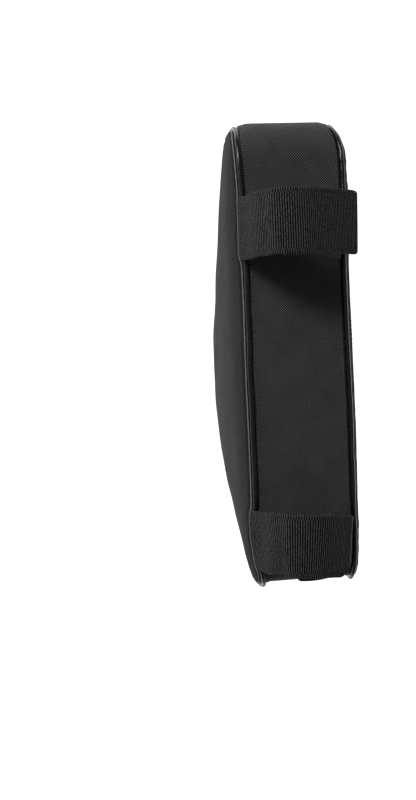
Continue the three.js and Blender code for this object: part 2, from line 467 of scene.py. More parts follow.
class Lattice(NamedTuple):
    """Heights at even steps of Y and Z."""

    low: np.ndarray
    step: float
    heights: np.ndarray

    def at(self, places):
        """The height at (Y, Z) places, by bilinear interpolation between four lattice points."""
        last = np.array(self.heights.shape) - 1 - CELL_MARGIN
        cell = np.clip((places - self.low) / self.step, 0, last)
        whole = cell.astype(int)
        y, z = np.moveaxis(cell - whole, -1, 0)
        i, j = np.moveaxis(whole, -1, 0)
        near = self.heights[i, j] * (1 - z) + self.heights[i, j + 1] * z
        far = self.heights[i + 1, j] * (1 - z) + self.heights[i + 1, j + 1] * z
        return near * (1 - y) + far * y


def lattice_places():
    """The (Y, Z) places of the lattice's points, with a margin round the outline."""
    low = np.array([GUSSET_LOW.y, GUSSET_LOW.z]) - 2 * LATTICE_STEP
    high = np.array([GUSSET_HIGH.y, GUSSET_HIGH.z]) + 2 * LATTICE_STEP
    axes = [np.arange(a, b, LATTICE_STEP) for a, b in zip(low, high)]
    return low, np.stack(np.meshgrid(*axes, indexing="ij"), -1)


def neighbour_mean(heights):
    """The mean of the four neighbours of each lattice point."""
    padded = np.pad(heights, 1, mode="edge")
    return (padded[2:, 1:-1] + padded[:-2, 1:-1] + padded[1:-1, 2:] + padded[1:-1, :-2]) / 4


@functools.cache
def membrane():
    """How a sheet that is held at the outline swells under even pressure, from 0 to 1.

    Each height becomes the mean of its four neighbours plus one load until it settles.
    """
    low, places = lattice_places()
    inside = inset_of(places) > 0
    heights = np.zeros(inside.shape)
    for _ in range(SETTLE_ROUNDS):
        heights = (neighbour_mean(heights) + 1) * inside
    return Lattice(low, LATTICE_STEP, heights / heights.max())


def resting_swell(places):
    """The padded side's height before it is blown up: swell times membrane ^ DOME_POWER."""
    return bpy.context.scene.bag_sizes.swell * membrane().at(places) ** DOME_POWER


# The simulation: its frames, the most that it may add, the sheet's points along and down the
# side and how they crowd towards its rim, and the rounds that spread its heights over the lattice
BLOW_FRAMES = 20
BLOW_CAP = 5 * MM
SHEET_COLUMNS, SHEET_ROWS, SHEET_CROWD = 84, 34, 0.35
SPREAD_ROUNDS = 6


@functools.cache
def blown():
    """What a cloth simulation adds to the side's height, as a lattice.

    A sheet over the side is held at its rim and pressed outwards. Only its movement across the
    side is kept, up to a cap. Each lattice point takes the mean of the sheet's points near it.
    """
    low, places = lattice_places()
    grid = side_grid(SHEET_COLUMNS, SHEET_ROWS, SHEET_CROWD)
    height = resting_swell(grid)
    points = np.concatenate([height[..., None], grid], -1)
    sheet = make_object("sheet_for_pressure", [patch(points)], weld=False)
    rows, columns = height.shape
    index = np.arange(rows * columns).reshape(rows, columns)
    rim = np.unique(np.concatenate([index[0], index[-1], index[:, 0], index[:, -1]]))
    sheet.vertex_groups.new(name="rim").add(rim.tolist(), 1.0, "REPLACE")
    cloth = sheet.modifiers.new("pressure", "CLOTH")
    cloth.settings.quality = 8
    cloth.settings.use_pressure = True
    cloth.settings.uniform_pressure_force = bpy.context.scene.bag_sizes.pressure
    cloth.settings.effector_weights.gravity = 0
    cloth.settings.vertex_group_mass = "rim"
    cloth.point_cache.frame_start = 1
    cloth.point_cache.frame_end = BLOW_FRAMES
    scene = bpy.context.scene
    for number in range(1, BLOW_FRAMES + 1):
        scene.frame_set(number)
    moved = sheet.evaluated_get(bpy.context.evaluated_depsgraph_get())
    result = np.zeros(rows * columns * 3)
    moved.data.vertices.foreach_get("co", result)
    scene.frame_set(1)
    added = np.clip(np.abs(result.reshape(-1, 3)[:, 0]) - height.ravel(), -MM, BLOW_CAP)
    bpy.data.objects.remove(sheet)
    bins = places.shape[:2]
    cell = np.round((grid.reshape(-1, 2) - low) / LATTICE_STEP).astype(int)
    flat = np.ravel_multi_index(cell.T, bins)
    total = np.bincount(flat, added, minlength=bins[0] * bins[1]).reshape(bins)
    count = np.bincount(flat, minlength=bins[0] * bins[1]).reshape(bins).astype(float)
    for _ in range(SPREAD_ROUNDS):
        total, count = (total + neighbour_mean(total)) / 2, (count + neighbour_mean(count)) / 2
    return Lattice(low, LATTICE_STEP, total / np.maximum(count, 1e-9))


# Meshes from arrays

# How near two points are welded, and the length below which an edge is dissolved
WELD_REACH = 0.002 * MM
LEAST_EDGE = 0.001 * MM
CAPSULE_ROUNDNESS = 0.7


class Patch(NamedTuple):
    """A piece of mesh: points, faces of four corners, and for each corner its thread place."""

    points: np.ndarray
    faces: np.ndarray
    threads: np.ndarray


def patch(points, across=None, along=None, wrap=(False, False)):
    """A patch from a lattice of points, rows by columns by 3.

    Each face joins a point, its next row, both and its next column, with the first row or column
    after the last one where wrap says so. along and across are the thread places of the rows and
    columns, with one more value than the lattice has where it wraps.
    """
    rows, columns = points.shape[:2]
    row, column = np.meshgrid(
        np.arange(rows if wrap[0] else rows - 1),
        np.arange(columns if wrap[1] else columns - 1),
        indexing="ij",
    )
    row, column = row.ravel(), column.ravel()
    corner_rows = np.stack([row, row + 1, row + 1, row], 1)
    corner_columns = np.stack([column, column, column + 1, column + 1], 1)
    faces = (corner_rows % rows) * columns + corner_columns % columns
    if along is None:
        along = np.linspace(0, 1, rows + 1)
    if across is None:
        across = np.linspace(0, 1, columns + 1)
    threads = np.stack([along[corner_rows], across[corner_columns]], -1)
    return Patch(points.reshape(-1, 3), faces, threads)


def threads_in_plane(made):
    """The patch with the Y and Z of each corner as its thread places."""
    return made._replace(threads=made.points[made.faces][..., 1:])


def copies(shape, places, frames):
    """A patch repeated: each point becomes its place plus the frame's three axes times it."""
    count = len(places)
    points = places[:, None] + np.einsum("nij,kj->nki", frames, shape.points)
    step = np.arange(count)[:, None, None] * len(shape.points)
    faces = (shape.faces[None] + step).reshape(-1, 4)
    threads = np.tile(shape.threads, (count, 1, 1))
    return Patch(points.reshape(-1, 3), faces, threads)


def capsule(length, radius, sides=6, rings=6):
    """A rounded stitch along X: circles at length / 2 times -cos(t), of radius times
    sin(t) ^ CAPSULE_ROUNDNESS."""
    t = np.linspace(0, np.pi, rings)
    angle = full_turn(sides)
    x = np.repeat(-np.cos(t)[:, None] * length / 2, sides, 1)
    ring = radius * np.sin(t)[:, None] ** CAPSULE_ROUNDNESS
    return patch(np.stack([x, ring * np.cos(angle), ring * np.sin(angle)], -1), wrap=(False, True))


def make_object(name, patches, material=None, weld=True, edge=None):
    """One object from patches: their points and faces one after another, welded and outward."""
    starts = np.cumsum([0] + [len(p.points) for p in patches[:-1]])
    points = np.concatenate([p.points for p in patches])
    faces = np.concatenate([p.faces + start for p, start in zip(patches, starts)])
    threads = np.concatenate([p.threads for p in patches])
    mesh = bpy.data.meshes.new(name)
    mesh.from_pydata(points, [], faces.tolist())
    layer = mesh.uv_layers.new(name="threads")
    layer.uv.foreach_set("vector", threads.astype(np.float32).ravel())
    if edge is not None:
        values = np.concatenate([np.broadcast_to(e, len(p.points)) for e, p in zip(edge, patches)])
        mesh.attributes.new("edge", "FLOAT", "POINT").data.foreach_set("value", values)
    if weld:
        body = bmesh.new()
        body.from_mesh(mesh)
        bmesh.ops.remove_doubles(body, verts=body.verts, dist=WELD_REACH)
        bmesh.ops.dissolve_degenerate(body, edges=body.edges, dist=LEAST_EDGE)
        bmesh.ops.recalc_face_normals(body, faces=body.faces)
        body.to_mesh(mesh)
        body.free()
    mesh.shade_smooth()
    made = bpy.data.objects.new(name, mesh)
    bpy.context.collection.objects.link(made)
    if material is not None:
        mesh.materials.append(material)
    return made


def subdivided(made):
    """One level of subdivision over the finished mesh."""
    smoothing = made.modifiers.new("smooth", "SUBSURF")
    smoothing.levels = 1
    smoothing.render_levels = 1
    return made


def dress(made, slot, *nodes):
    """The piece rides on the part and stands for the named solids. slot is not used."""
    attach(made, "root")
    if nodes:
        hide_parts(*nodes)
    return made


def drawn(points):
    """Points moved along X with the top seams: by the table's amount for their side at their Y,
    which fades as exp(-(depth / DRAWN_DEPTH)^2) below the top, and likewise above the piping.
    The seams' front ends are also pulled back along Y."""
    x, y, z = np.moveaxis(points, -1, 0)
    left = np.interp(y, DRAWN["y"], DRAWN["left"])
    right = np.interp(y, DRAWN["y"], DRAWN["right"])
    side = np.clip((x - BAG_MIDDLE) / PANEL_RIM, -1, 1)
    below = np.maximum(BAG_TOP - z, 0) / DRAWN_DEPTH
    above = np.maximum(z - PIPING_HIGH.z, 0) / DRAWN_RISE
    fade = np.exp(-(below**2) - above**2)
    shift = np.where(side > 0, right, left) * side * fade
    front = smooth_step(y, GUSSET_HIGH.y - SEAM_PULL_BEHIND, GUSSET_HIGH.y + PIPING_OUT)
    pull = SEAM_PULL * front * smooth_step(np.abs(side), *SEAM_PULL_SHARES)
    return points + np.stack([shift, -pull, 0 * shift], -1)


def carried(ring, x, out):
    """A profile carried round the outline: points at x across the bag, and out from the outline
    along its outward direction, moved with the top seams."""
    flat = ring.points[:, None] + ring.outward[:, None] * out[..., None]
    return drawn(np.concatenate([x[..., None], flat], -1))


# Materials


class Finish(NamedTuple):
    """A material's shader values, the darkest and palest shares of its colour, and the depth of
    its relief."""

    roughness: float
    specular: float
    darkest: float
    palest: float
    relief: float
    metallic: float = 0.0


FINISHES = {
    "side_cloth": Finish(0.8, 0.15, darkest=0.0, palest=2.05, relief=0.12 * MM),
    "gusset_cloth": Finish(0.6, 0.12, darkest=0.2, palest=4.6, relief=0.35 * MM),
    "piping": Finish(0.21, 0.5, darkest=0.7, palest=1.4, relief=0.1 * MM),
    # The webbing's darkest share is painted shade in its grooves and its palest a painted
    # highlight on its ribs
    "webbing": Finish(0.55, 0.06, darkest=0.02, palest=9.6, relief=0.22 * MM),
    "thread": Finish(0.55, 0.2, darkest=0.5, palest=1.6, relief=0.08 * MM),
    "zip_teeth": Finish(0.38, 0.35, darkest=0.9, palest=1.9, relief=0.05 * MM),
    "slider_metal": Finish(0.36, 0.5, darkest=0.6, palest=1.5, relief=0.03 * MM, metallic=1.0),
}
# The noises: waves for each metre, and how many layers of finer waves they have
NOISES = {
    "blotch": (45.0, 3.0),
    "grain": (650.0, 4.0),
    "patchy": (70.0, 3.0),
    "crease": (160.0, 3.0),
    "fuzz": (800.0, 2.0),
    "twist": (1800.0, 3.0),
    "nylon": (500.0, 3.0),
    "scuff": (700.0, 6.0),
    "tarnish": (120.0, 3.0),
}
# Widths of the finest threads, and of the beads along the webbing's ribs
SIDE_THREAD = 0.45 * MM
PIPING_THREAD = 0.4 * MM
BEAD_PITCH = 1.05 * MM
# The darkest and palest shares of the side's colour in the painted shade beside the seams, the
# palest in the painted highlight on its folded edges, and the palest share of the webbing's colour
# in the painted highlight on its sealed and sewn ends
PAINTED_SHADE_SHARES = (0.05, 1.05)
FOLD_HIGHLIGHT_SHARE = 8.5
END_HIGHLIGHT_SHARE = 17.0
# The edge attribute's value on a side well inside its seam, where its painted shade ends
PAINTED_SHADE_END = 0.2
# How flat the back of a woven thread is along it, how sharp the gusset's glints and the painted
# highlights on the backs of the webbing's ribs are
THREAD_FLATNESS = 0.6
GLINT_POWER = 1.4
RIB_HIGHLIGHT_POWER = 4.5


def node(tree, kind, settings=(), **inputs):
    """A node whose inputs are set, or linked where the value is another node's socket."""
    made = tree.nodes.new(kind)
    for name, value in dict(settings).items():
        setattr(made, name, value)
    for name, value in inputs.items():
        key = name.replace("_", " ") if not name.startswith("at") else int(name[2:])
        socket = made.inputs[key]
        if isinstance(value, bpy.types.NodeSocket):
            tree.links.new(value, socket)
        else:
            socket.default_value = value
    return made


def maths(tree, operation, *values):
    """One Math node's result."""
    numbered = {f"at{number}": value for number, value in enumerate(values)}
    return node(tree, "ShaderNodeMath", {"operation": operation}, **numbered).outputs[0]


def mixed(tree, factor, first, second):
    """A colour between two colours."""
    made = node(tree, "ShaderNodeMix", {"data_type": "RGBA"}, at0=factor, at6=first, at7=second)
    return made.outputs[2]


def blend(tree, *terms):
    """The sum of values times their weights."""
    products = [maths(tree, "MULTIPLY", value, weight) for value, weight in terms]
    return functools.reduce(lambda a, b: maths(tree, "ADD", a, b), products)


def noise(tree, vector, kind):
    """Noise from 0 to 1, of one of the named kinds."""
    scale, detail = NOISES[kind]
    made = node(tree, "ShaderNodeTexNoise", Vector=vector, Scale=scale, Detail=detail)
    return made.outputs["Fac"]


def new_material(name):
    """A material with its shader, its tree, and the sockets of the two kinds of places."""
    finish = FINISHES[name]
    material = bpy.data.materials.new(name)
    material.use_nodes = True
    tree = material.node_tree
    shader = tree.nodes["Principled BSDF"]
    shader.inputs["Roughness"].default_value = finish.roughness
    shader.inputs["Metallic"].default_value = finish.metallic
    shader.inputs["Specular IOR Level"].default_value = finish.specular
    place = node(tree, "ShaderNodeTexCoord")
    return material, tree, shader, place.outputs["UV"], place.outputs["Object"]


def thread_axes(tree, threads, pitch_along, pitch_across):
    """The two thread places as counts of threads."""
    axes = node(tree, "ShaderNodeSeparateXYZ", Vector=threads).outputs
    along = maths(tree, "MULTIPLY", axes[0], 1 / pitch_along)
    across = maths(tree, "MULTIPLY", axes[1], 1 / pitch_across)
    return along, across


def hump(tree, count):
    """The round back of each thread: sin(pi times the fraction of the count)."""
    fraction = maths(tree, "FRACT", count)
    return maths(tree, "SINE", maths(tree, "MULTIPLY", fraction, np.pi))


def parity(tree, *counts):
    """0 or 1 in turn from cell to cell: the sum of the whole counts, modulo 2."""
    whole = [maths(tree, "FLOOR", count) for count in counts]
    total = functools.reduce(lambda a, b: maths(tree, "ADD", a, b), whole)
    return maths(tree, "FLOORED_MODULO", total, 2.0)


def basket(tree, along, across):
    """The height of a plain weave: in one cell a thread runs along, in the next across.

    A thread's height is its round back, hump ^ THREAD_FLATNESS over its width, times the plain
    hump along it, which rises slowly to the middle of its cell.
    """
    hump_across, hump_along = hump(tree, across), hump(tree, along)
    back_across = maths(tree, "POWER", hump_across, THREAD_FLATNESS)
    back_along = maths(tree, "POWER", hump_along, THREAD_FLATNESS)
    first = maths(tree, "MULTIPLY", back_across, hump_along)
    second = maths(tree, "MULTIPLY", back_along, hump_across)
    over = parity(tree, along, across)
    return node(
        tree, "ShaderNodeMix", {"data_type": "FLOAT"}, at0=over, at2=first, at3=second
    ).outputs[0], over


def relief(tree, shader, name, height):
    """Bump of a height over the surface, as deep as the finish's relief."""
    made = node(
        tree, "ShaderNodeBump", Height=height, Distance=FINISHES[name].relief, Strength=1.0
    )
    tree.links.new(made.outputs["Normal"], shader.inputs["Normal"])


def shades(color, darker, lighter):
    """A darker and a lighter copy of a colour, as RGBA."""
    base = np.array(color[:])
    return (*(base * darker), 1), (*(base * lighter), 1)


def toned(tree, name, color, tone):
    """The finish's colour, from its darkest to its palest share by tone."""
    finish = FINISHES[name]
    return mixed(tree, tone, *shades(color, finish.darkest, finish.palest))


def side_material():
    """Smooth matte cloth: fine threads, grain and faint blotches, painted shade beside the seams,
    and a painted highlight along its folded edges. The edge attribute goes from 0 at the seam to
    the value where the painted shade ends well inside, and to 1 on the folded edges."""
    color = bpy.context.scene.bag_finish.side
    material, tree, shader, threads, place = new_material("side_cloth")
    weave, _ = basket(tree, *thread_axes(tree, threads, SIDE_THREAD, SIDE_THREAD))
    blotch, grain = noise(tree, place, "blotch"), noise(tree, place, "grain")
    tone = blend(tree, (blotch, 0.35), (grain, 0.65))
    cloth = toned(tree, "side_cloth", color, tone)
    # Painted shade beside the seams: a darker copy of the cloth's tone, which worn mixes in
    # towards the seam
    painted_shade = mixed(tree, tone, *shades(color, *PAINTED_SHADE_SHARES))
    edge = node(tree, "ShaderNodeAttribute", {"attribute_name": "edge"}).outputs["Fac"]
    painted_shade_ramp = maths(tree, "MINIMUM", maths(tree, "MULTIPLY", edge, 1 / PAINTED_SHADE_END), 1.0)
    # folded marks the painted highlight along the folded edge, where the fold catches the light
    folded = maths(tree, "MAXIMUM", maths(tree, "SUBTRACT", edge, PAINTED_SHADE_END), 0.0)
    painted_highlight = shades(color, 1.0, FOLD_HIGHLIGHT_SHARE)[1]
    worn = mixed(tree, painted_shade_ramp, painted_shade, cloth)
    tree.links.new(mixed(tree, folded, worn, painted_highlight), shader.inputs["Base Color"])
    relief(tree, shader, "side_cloth", blend(tree, (weave, 0.6), (grain, 0.8)))
    return material


def gusset_material():
    """Coarse weave whose raised threads glint in every second cell."""
    color = bpy.context.scene.bag_finish.gusset
    pitch = bpy.context.scene.bag_sizes.weave_pitch
    material, tree, shader, threads, place = new_material("gusset_cloth")
    weave, over = basket(tree, *thread_axes(tree, threads, pitch, pitch))
    sharp = maths(tree, "POWER", weave, GLINT_POWER)
    glint = maths(tree, "MULTIPLY", sharp, maths(tree, "ADD", over, 0.1))
    patchy = maths(tree, "MULTIPLY_ADD", noise(tree, place, "patchy"), 0.9, 0.6)
    tone = maths(tree, "MULTIPLY", glint, patchy)
    tree.links.new(toned(tree, "gusset_cloth", color, tone), shader.inputs["Base Color"])
    relief(tree, shader, "gusset_cloth", weave)
    return material


def piping_material():
    """A smooth coated cover over a cord, with faint creases across it."""
    color = bpy.context.scene.bag_finish.piping
    material, tree, shader, threads, place = new_material("piping")
    tone = noise(tree, place, "crease")
    tree.links.new(toned(tree, "piping", color, tone), shader.inputs["Base Color"])
    weave, _ = basket(tree, *thread_axes(tree, threads, PIPING_THREAD, PIPING_THREAD))
    relief(tree, shader, "piping", maths(tree, "MULTIPLY_ADD", weave, 0.25, tone))
    return material


def webbing_material():
    """Ribbed webbing: a painted highlight on the broken backs of the ribs, painted shade in the
    grooves between them, fuzz over both, and a painted highlight on the ends where the edge
    attribute is 1."""
    sizes = bpy.context.scene.bag_sizes
    color = bpy.context.scene.bag_finish.webbing
    material, tree, shader, threads, place = new_material("webbing")
    along, across = thread_axes(tree, threads, sizes.rib_pitch, BEAD_PITCH)
    selvedge = (sizes.strap_width / 2 - SELVEDGE) / BEAD_PITCH
    beyond = maths(tree, "GREATER_THAN", maths(tree, "ABSOLUTE", across), selvedge)
    along = maths(tree, "MULTIPLY_ADD", beyond, 0.5, along)
    rib = hump(tree, along)
    beads = hump(tree, maths(tree, "MULTIPLY_ADD", parity(tree, along), 0.5, across))
    broken = maths(tree, "MULTIPLY_ADD", beads, 0.95, 0.15)
    # back is the painted highlight on the backs of the ribs; the darkest share leaves painted
    # shade in the grooves
    back = maths(tree, "MULTIPLY", maths(tree, "POWER", rib, RIB_HIGHLIGHT_POWER), broken)
    fuzz = maths(tree, "MULTIPLY_ADD", noise(tree, place, "fuzz"), 3.2, -0.5)
    ribbed = toned(tree, "webbing", color, maths(tree, "MULTIPLY", back, fuzz))
    # The painted highlight on the sealed and sewn ends
    end_highlight = node(tree, "ShaderNodeAttribute", {"attribute_name": "edge"}).outputs["Fac"]
    painted_highlight = shades(color, 1.0, END_HIGHLIGHT_SHARE)[1]
    tree.links.new(mixed(tree, end_highlight, ribbed, painted_highlight), shader.inputs["Base Color"])
    relief(tree, shader, "webbing", maths(tree, "MULTIPLY", rib, broken))
    return material


def plain_material(name, color, kind):
    """A material whose colour and relief both follow one noise."""
    material, tree, shader, _, place = new_material(name)
    tone = noise(tree, place, kind)
    tree.links.new(toned(tree, name, color, tone), shader.inputs["Base Color"])
    relief(tree, shader, name, tone)
    return material


def thread_material():
    """Twisted sewing thread."""
    return plain_material("thread", bpy.context.scene.bag_finish.thread, "twist")


def coil_material():
    """The nylon of the zip's teeth."""
    return plain_material("zip_teeth", bpy.context.scene.bag_finish.piping, "nylon")


def metal_material():
    """Dark plated metal with fine scuffs and worn, brighter patches."""
    color = bpy.context.scene.bag_finish.metal
    material, tree, shader, _, place = new_material("slider_metal")
    scuff, wear = noise(tree, place, "scuff"), noise(tree, place, "tarnish")
    tree.links.new(toned(tree, "slider_metal", color, wear), shader.inputs["Base Color"])
    rough = maths(tree, "MULTIPLY_ADD", scuff, 0.3, 0.22)
    tree.links.new(rough, shader.inputs["Roughness"])
    relief(tree, shader, "slider_metal", scuff)
    return material


# The padded sides

# Points along and down a side
SIDE_COLUMNS, SIDE_ROWS = 150, 58
# The quarter-round shoulder along the seam, its share of the wall, and the inset where the wall
# has its whole thickness
SHOULDER = 1.6 * MM
RIM_SHARE = 0.4
FULL_INSET = 20 * MM
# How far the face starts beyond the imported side's rim
RIM_GAP = 0.1 * MM
# Puckers along the seam: height, how fast they fade, and the lengths of their waves
PUCKER = 0.22 * MM
PUCKER_FADE = 5 * MM
PUCKER_LENGTHS = (9 * MM, 23 * MM)
# Slack over the rest of the side: height, lengths of its waves, and the inset where it is full
SLACK = 0.35 * MM
SLACK_LENGTHS = (70 * MM, 55 * MM)
SLACK_INSET = 25 * MM
# The right side swells less, because the zip's tape holds it
RIGHT_SWELL = 0.85
# The groove for the zip's tape: its depth, how far outside the slot it starts and how far inside
# it is full, and how much of its depth is taken from the wall
GROOVE_DEPTH = 1.9 * MM
GROOVE_OUTSIDE, GROOVE_INSIDE = 1.6 * MM, 0.8 * MM
GROOVE_SHARE = 0.6
# The insets between which the wall grows from its least to its whole thickness
WALL_STARTS, WALL_FULL = -0.5 * MM, 3 * MM
LEAST_WALL = 0.1 * MM
# The folded edge of the cloth: radius, how uneven it is and the length of that wave, how far its
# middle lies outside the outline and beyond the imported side's rim, and its points
LIP_RADIUS = 0.5 * MM
LIP_UNEVEN, LIP_WAVE = 0.12, 6 * MM
LIP_OUT = 0.6 * MM
LIP_BEYOND = 0.85 * MM
LIP_POINTS, LIP_SIDES = 800, 6
# The zip's slot
ZIP_HALF = 8 * MM
ZIP_LINE = ZIP_HIGH.z - ZIP_HALF
# The turned-in hem round the slot: half its width, how far inside the slot's edge it starts, half
# its thickness, its lift, how flat it is, and its points round each end, along and round it
HEM_HALF = 2.4 * MM
HEM_INSIDE = 2.0 * MM
HEM_RISE = 0.55 * MM
HEM_LIFT = 0.05 * MM
HEM_FLATNESS = 0.35
HEM_END_POINTS, HEM_RUN_POINTS, HEM_SIDES = 21, 92, 12


def zip_ends():
    """The rear and front ends of the zip's tape."""
    return ZIP_LOW.y, ZIP_HIGH.y


def zip_distance(places):
    """How far places lie outside the zip's slot with its round ends, less than 0 inside it."""
    low, high = zip_ends()
    y, z = np.moveaxis(places, -1, 0)
    beyond = y - np.clip(y, low + ZIP_HALF, high - ZIP_HALF)
    return np.hypot(beyond, z - ZIP_LINE) - ZIP_HALF


def side_height(places, sign):
    """How far the outer face of a side stands from the bag's middle plane.

    The rim, a quarter-round shoulder where the seam pinches the padding, the rest of the wall's
    thickness further in, the swell at rest, what the pressure adds, slow slack waves, and puckers
    along the seam that fade as exp(-inset / PUCKER_FADE).
    """
    inset = np.maximum(inset_of(places), 0)
    wall = bpy.context.scene.bag_sizes.panel_wall
    t = np.clip(inset / SHOULDER, 0, 1)
    pinched = RIM_SHARE * np.sqrt(1 - (1 - t) ** 2)
    shoulder = wall * (pinched + (1 - RIM_SHARE) * smooth_step(inset, 0, FULL_INSET))
    swell = (resting_swell(places) + blown().at(places)) * (RIGHT_SWELL if sign > 0 else 1)
    y, z = np.moveaxis(places, -1, 0)
    short = ripple(y + 0.6 * z, PUCKER_LENGTHS[0], waves=5, seed=11 + sign)
    long = ripple(y - z, PUCKER_LENGTHS[1], waves=4, seed=13 + sign)
    pucker = PUCKER * (short + 0.6 * long) * np.exp(-inset / PUCKER_FADE) * t
    slanted = ripple(y - 0.4 * z, SLACK_LENGTHS[0], waves=4, seed=17 + sign)
    level = ripple(z, SLACK_LENGTHS[1], waves=3, seed=19 + sign)
    slack = SLACK * slanted * level * smooth_step(inset, 0, SLACK_INSET)
    return PANEL_RIM + RIM_GAP + shoulder + swell + pucker + slack


def on_side(places, sign, lift=0.0):
    """Points on the outer face of a side at (Y, Z) places, raised by lift."""
    x = BAG_MIDDLE + sign * (side_height(places, sign) + lift)
    return drawn(np.concatenate([x[..., None], places], -1))


def side_shell(sign):
    """The closed shell of a padded side: its outer face, and an inner face one wall inside that
    meets it at the rim. The zip's side has a groove as deep as the tape needs."""
    places = side_grid(SIDE_COLUMNS, SIDE_ROWS)
    inset = np.maximum(inset_of(places), 0)
    groove = 0.0
    if sign > 0:
        groove = GROOVE_DEPTH * smooth_step(-zip_distance(places), -GROOVE_OUTSIDE, GROOVE_INSIDE)
    outer = on_side(places, sign, -groove)
    whole = bpy.context.scene.bag_sizes.panel_wall
    wall = whole * smooth_step(inset, WALL_STARTS, WALL_FULL) - groove * GROOVE_SHARE
    inner = on_side(places, sign, -groove - np.maximum(wall, LEAST_WALL))
    faces = [threads_in_plane(patch(points)) for points in (outer, inner)]
    rim = [np.concatenate([p[0], p[1:, -1], p[-1, -2::-1], p[-2:0:-1, 0]]) for p in (outer, inner)]
    return [*faces, patch(np.stack(rim), wrap=(False, True))]


def seam_lip(sign):
    """The folded edge of the side's cloth: a fine tube along the rim, beside the piping."""
    ring = bag_outline().ring(LIP_POINTS)
    angle = full_turn(LIP_SIDES)
    uneven = ripple(ring.along, LIP_WAVE, waves=4, seed=23 + sign)
    radius = LIP_RADIUS * (1 + LIP_UNEVEN * uneven)[:, None]
    x = BAG_MIDDLE + sign * (PANEL_RIM + LIP_BEYOND + radius * np.cos(angle))
    return patch(carried(ring, x, LIP_OUT + radius * np.sin(angle)), wrap=(True, True))


def zip_hem():
    """The turned-in cloth round the zip's slot: a flat band with rounded edges, carried round
    the slot on the side's face. Its section is HEM_HALF |cos| ^ HEM_FLATNESS to either side of
    its middle, and HEM_RISE sin high."""
    low, high = zip_ends()
    half_turn = np.linspace(-np.pi / 2, np.pi / 2, HEM_END_POINTS)
    run = np.linspace(low + ZIP_HALF, high - ZIP_HALF, HEM_RUN_POINTS)[1:-1]
    front, rear = (np.full(HEM_END_POINTS, y) for y in (high - ZIP_HALF, low + ZIP_HALF))
    middle = np.concatenate([front, run[::-1], rear, run])
    centre = np.stack([middle, np.full_like(middle, ZIP_LINE)], 1)
    upright = np.full(len(run), np.pi / 2)
    angle = np.concatenate([half_turn, upright, half_turn + np.pi, -upright])
    out = np.stack([np.cos(angle), np.sin(angle)], 1)
    turn = full_turn(HEM_SIDES)
    spread = np.sign(np.cos(turn)) * np.abs(np.cos(turn)) ** HEM_FLATNESS
    reach = ZIP_HALF - HEM_INSIDE + HEM_HALF * (1 + spread)
    places = centre[:, None] + out[:, None] * reach[None, :, None]
    lift = np.broadcast_to(HEM_RISE * np.sin(turn) + HEM_LIFT, places.shape[:2])
    return threads_in_plane(patch(on_side(places, 1, lift), wrap=(True, True)))


# The insets over which the painted shade beside the seam gives way to the side cloth's own tone
PAINTED_SHADE_INSETS = (1 * MM, 26 * MM)


class BAG_OT_sides(bpy.types.Operator):
    """Make the two padded sides, the right one with the zip's turned-in slot"""

    bl_idname = "bag.sides"
    bl_label = "Sides"

    def execute(self, context):
        material = side_material()
        for name, sign in (("left_panel", -1), ("right_panel", 1)):
            patches = [*side_shell(sign), seam_lip(sign)]
            inset = inset_of(patches[0].points[:, 1:])
            # The edge attribute: on the faces a ramp from painted shade at the seam to none well
            # inside, 1 for the painted highlight on the lip
            painted_shade_ramp = PAINTED_SHADE_END * smooth_step(inset, *PAINTED_SHADE_INSETS)
            edge = [painted_shade_ramp, painted_shade_ramp, 0.0, 1.0]
            if sign > 0:
                patches.append(zip_hem())
                edge.append(PAINTED_SHADE_END)
            made = subdivided(make_object(f"{name}_cloth", patches, material, edge=edge))
            dress(made, "side_cloth", name)
        return {"FINISHED"}


# The gusset and its stitches

# Points across and along the band, how the first crowd towards its edges, and how many steps of
# the outer face make one of the inner face
GUSSET_COLUMNS, GUSSET_POINTS, GUSSET_CROWD = 46, 640, 0.55
INNER_STEP = 3
# How far the rows of stitches lie from the middle, and a stitch's length, radius and lift
STITCH_LINE = 27.6 * MM
STITCH_LENGTH, STITCH_RADIUS = 2.1 * MM, 0.28 * MM
STITCH_LIFT = 0.05 * MM
# Along the stitches: a ridge, beyond it a valley, and a low rise under the piping
RIDGE, RIDGE_HALF = 0.55 * MM, 1.0 * MM
VALLEY, VALLEY_AWAY, VALLEY_HALF = 0.45 * MM, 1.5 * MM, 0.5 * MM
EDGE_RISE, EDGE_STARTS, EDGE_FULL = 0.22 * MM, 1.8 * MM, 2.8 * MM
# Slow waves over the band, and puckers beside the stitches: heights, lengths and half width
WAVE, WAVE_LENGTH = 0.3 * MM, 60 * MM
GATHER, GATHER_LENGTH, GATHER_HALF = 0.1 * MM, 5.5 * MM, 3 * MM
# The crown that the filled bag gives the band: its heights at the front end and along the top,
# half its width, the power that keeps its middle flat, how much the line where it grows leans,
# and how far that line lies behind the front face and the top's crown reaches down
FRONT_CROWN = 3.7 * MM
TOP_CROWN = 1.5 * MM
CROWN_HALF = 30.1 * MM
CROWN_POWER = 18
CROWN_LEAN = 0.35
CROWN_BEHIND = 26 * MM
CROWN_DEPTH = 9 * MM


class BAG_OT_gusset(bpy.types.Operator):
    """Make the woven band between the sides, with its two rows of stitches"""

    bl_idname = "bag.gusset"
    bl_label = "Gusset"

    def execute(self, context):
        made = make_object("gusset_cloth", [gusset_band()], gusset_material())
        dress(made, "gusset_cloth", "gusset")
        rows = [edge_stitches(side) for side in (-1, 1)]
        dress(make_object("gusset_stitches", rows, thread_material()), "gusset_cloth")
        return {"FINISHED"}


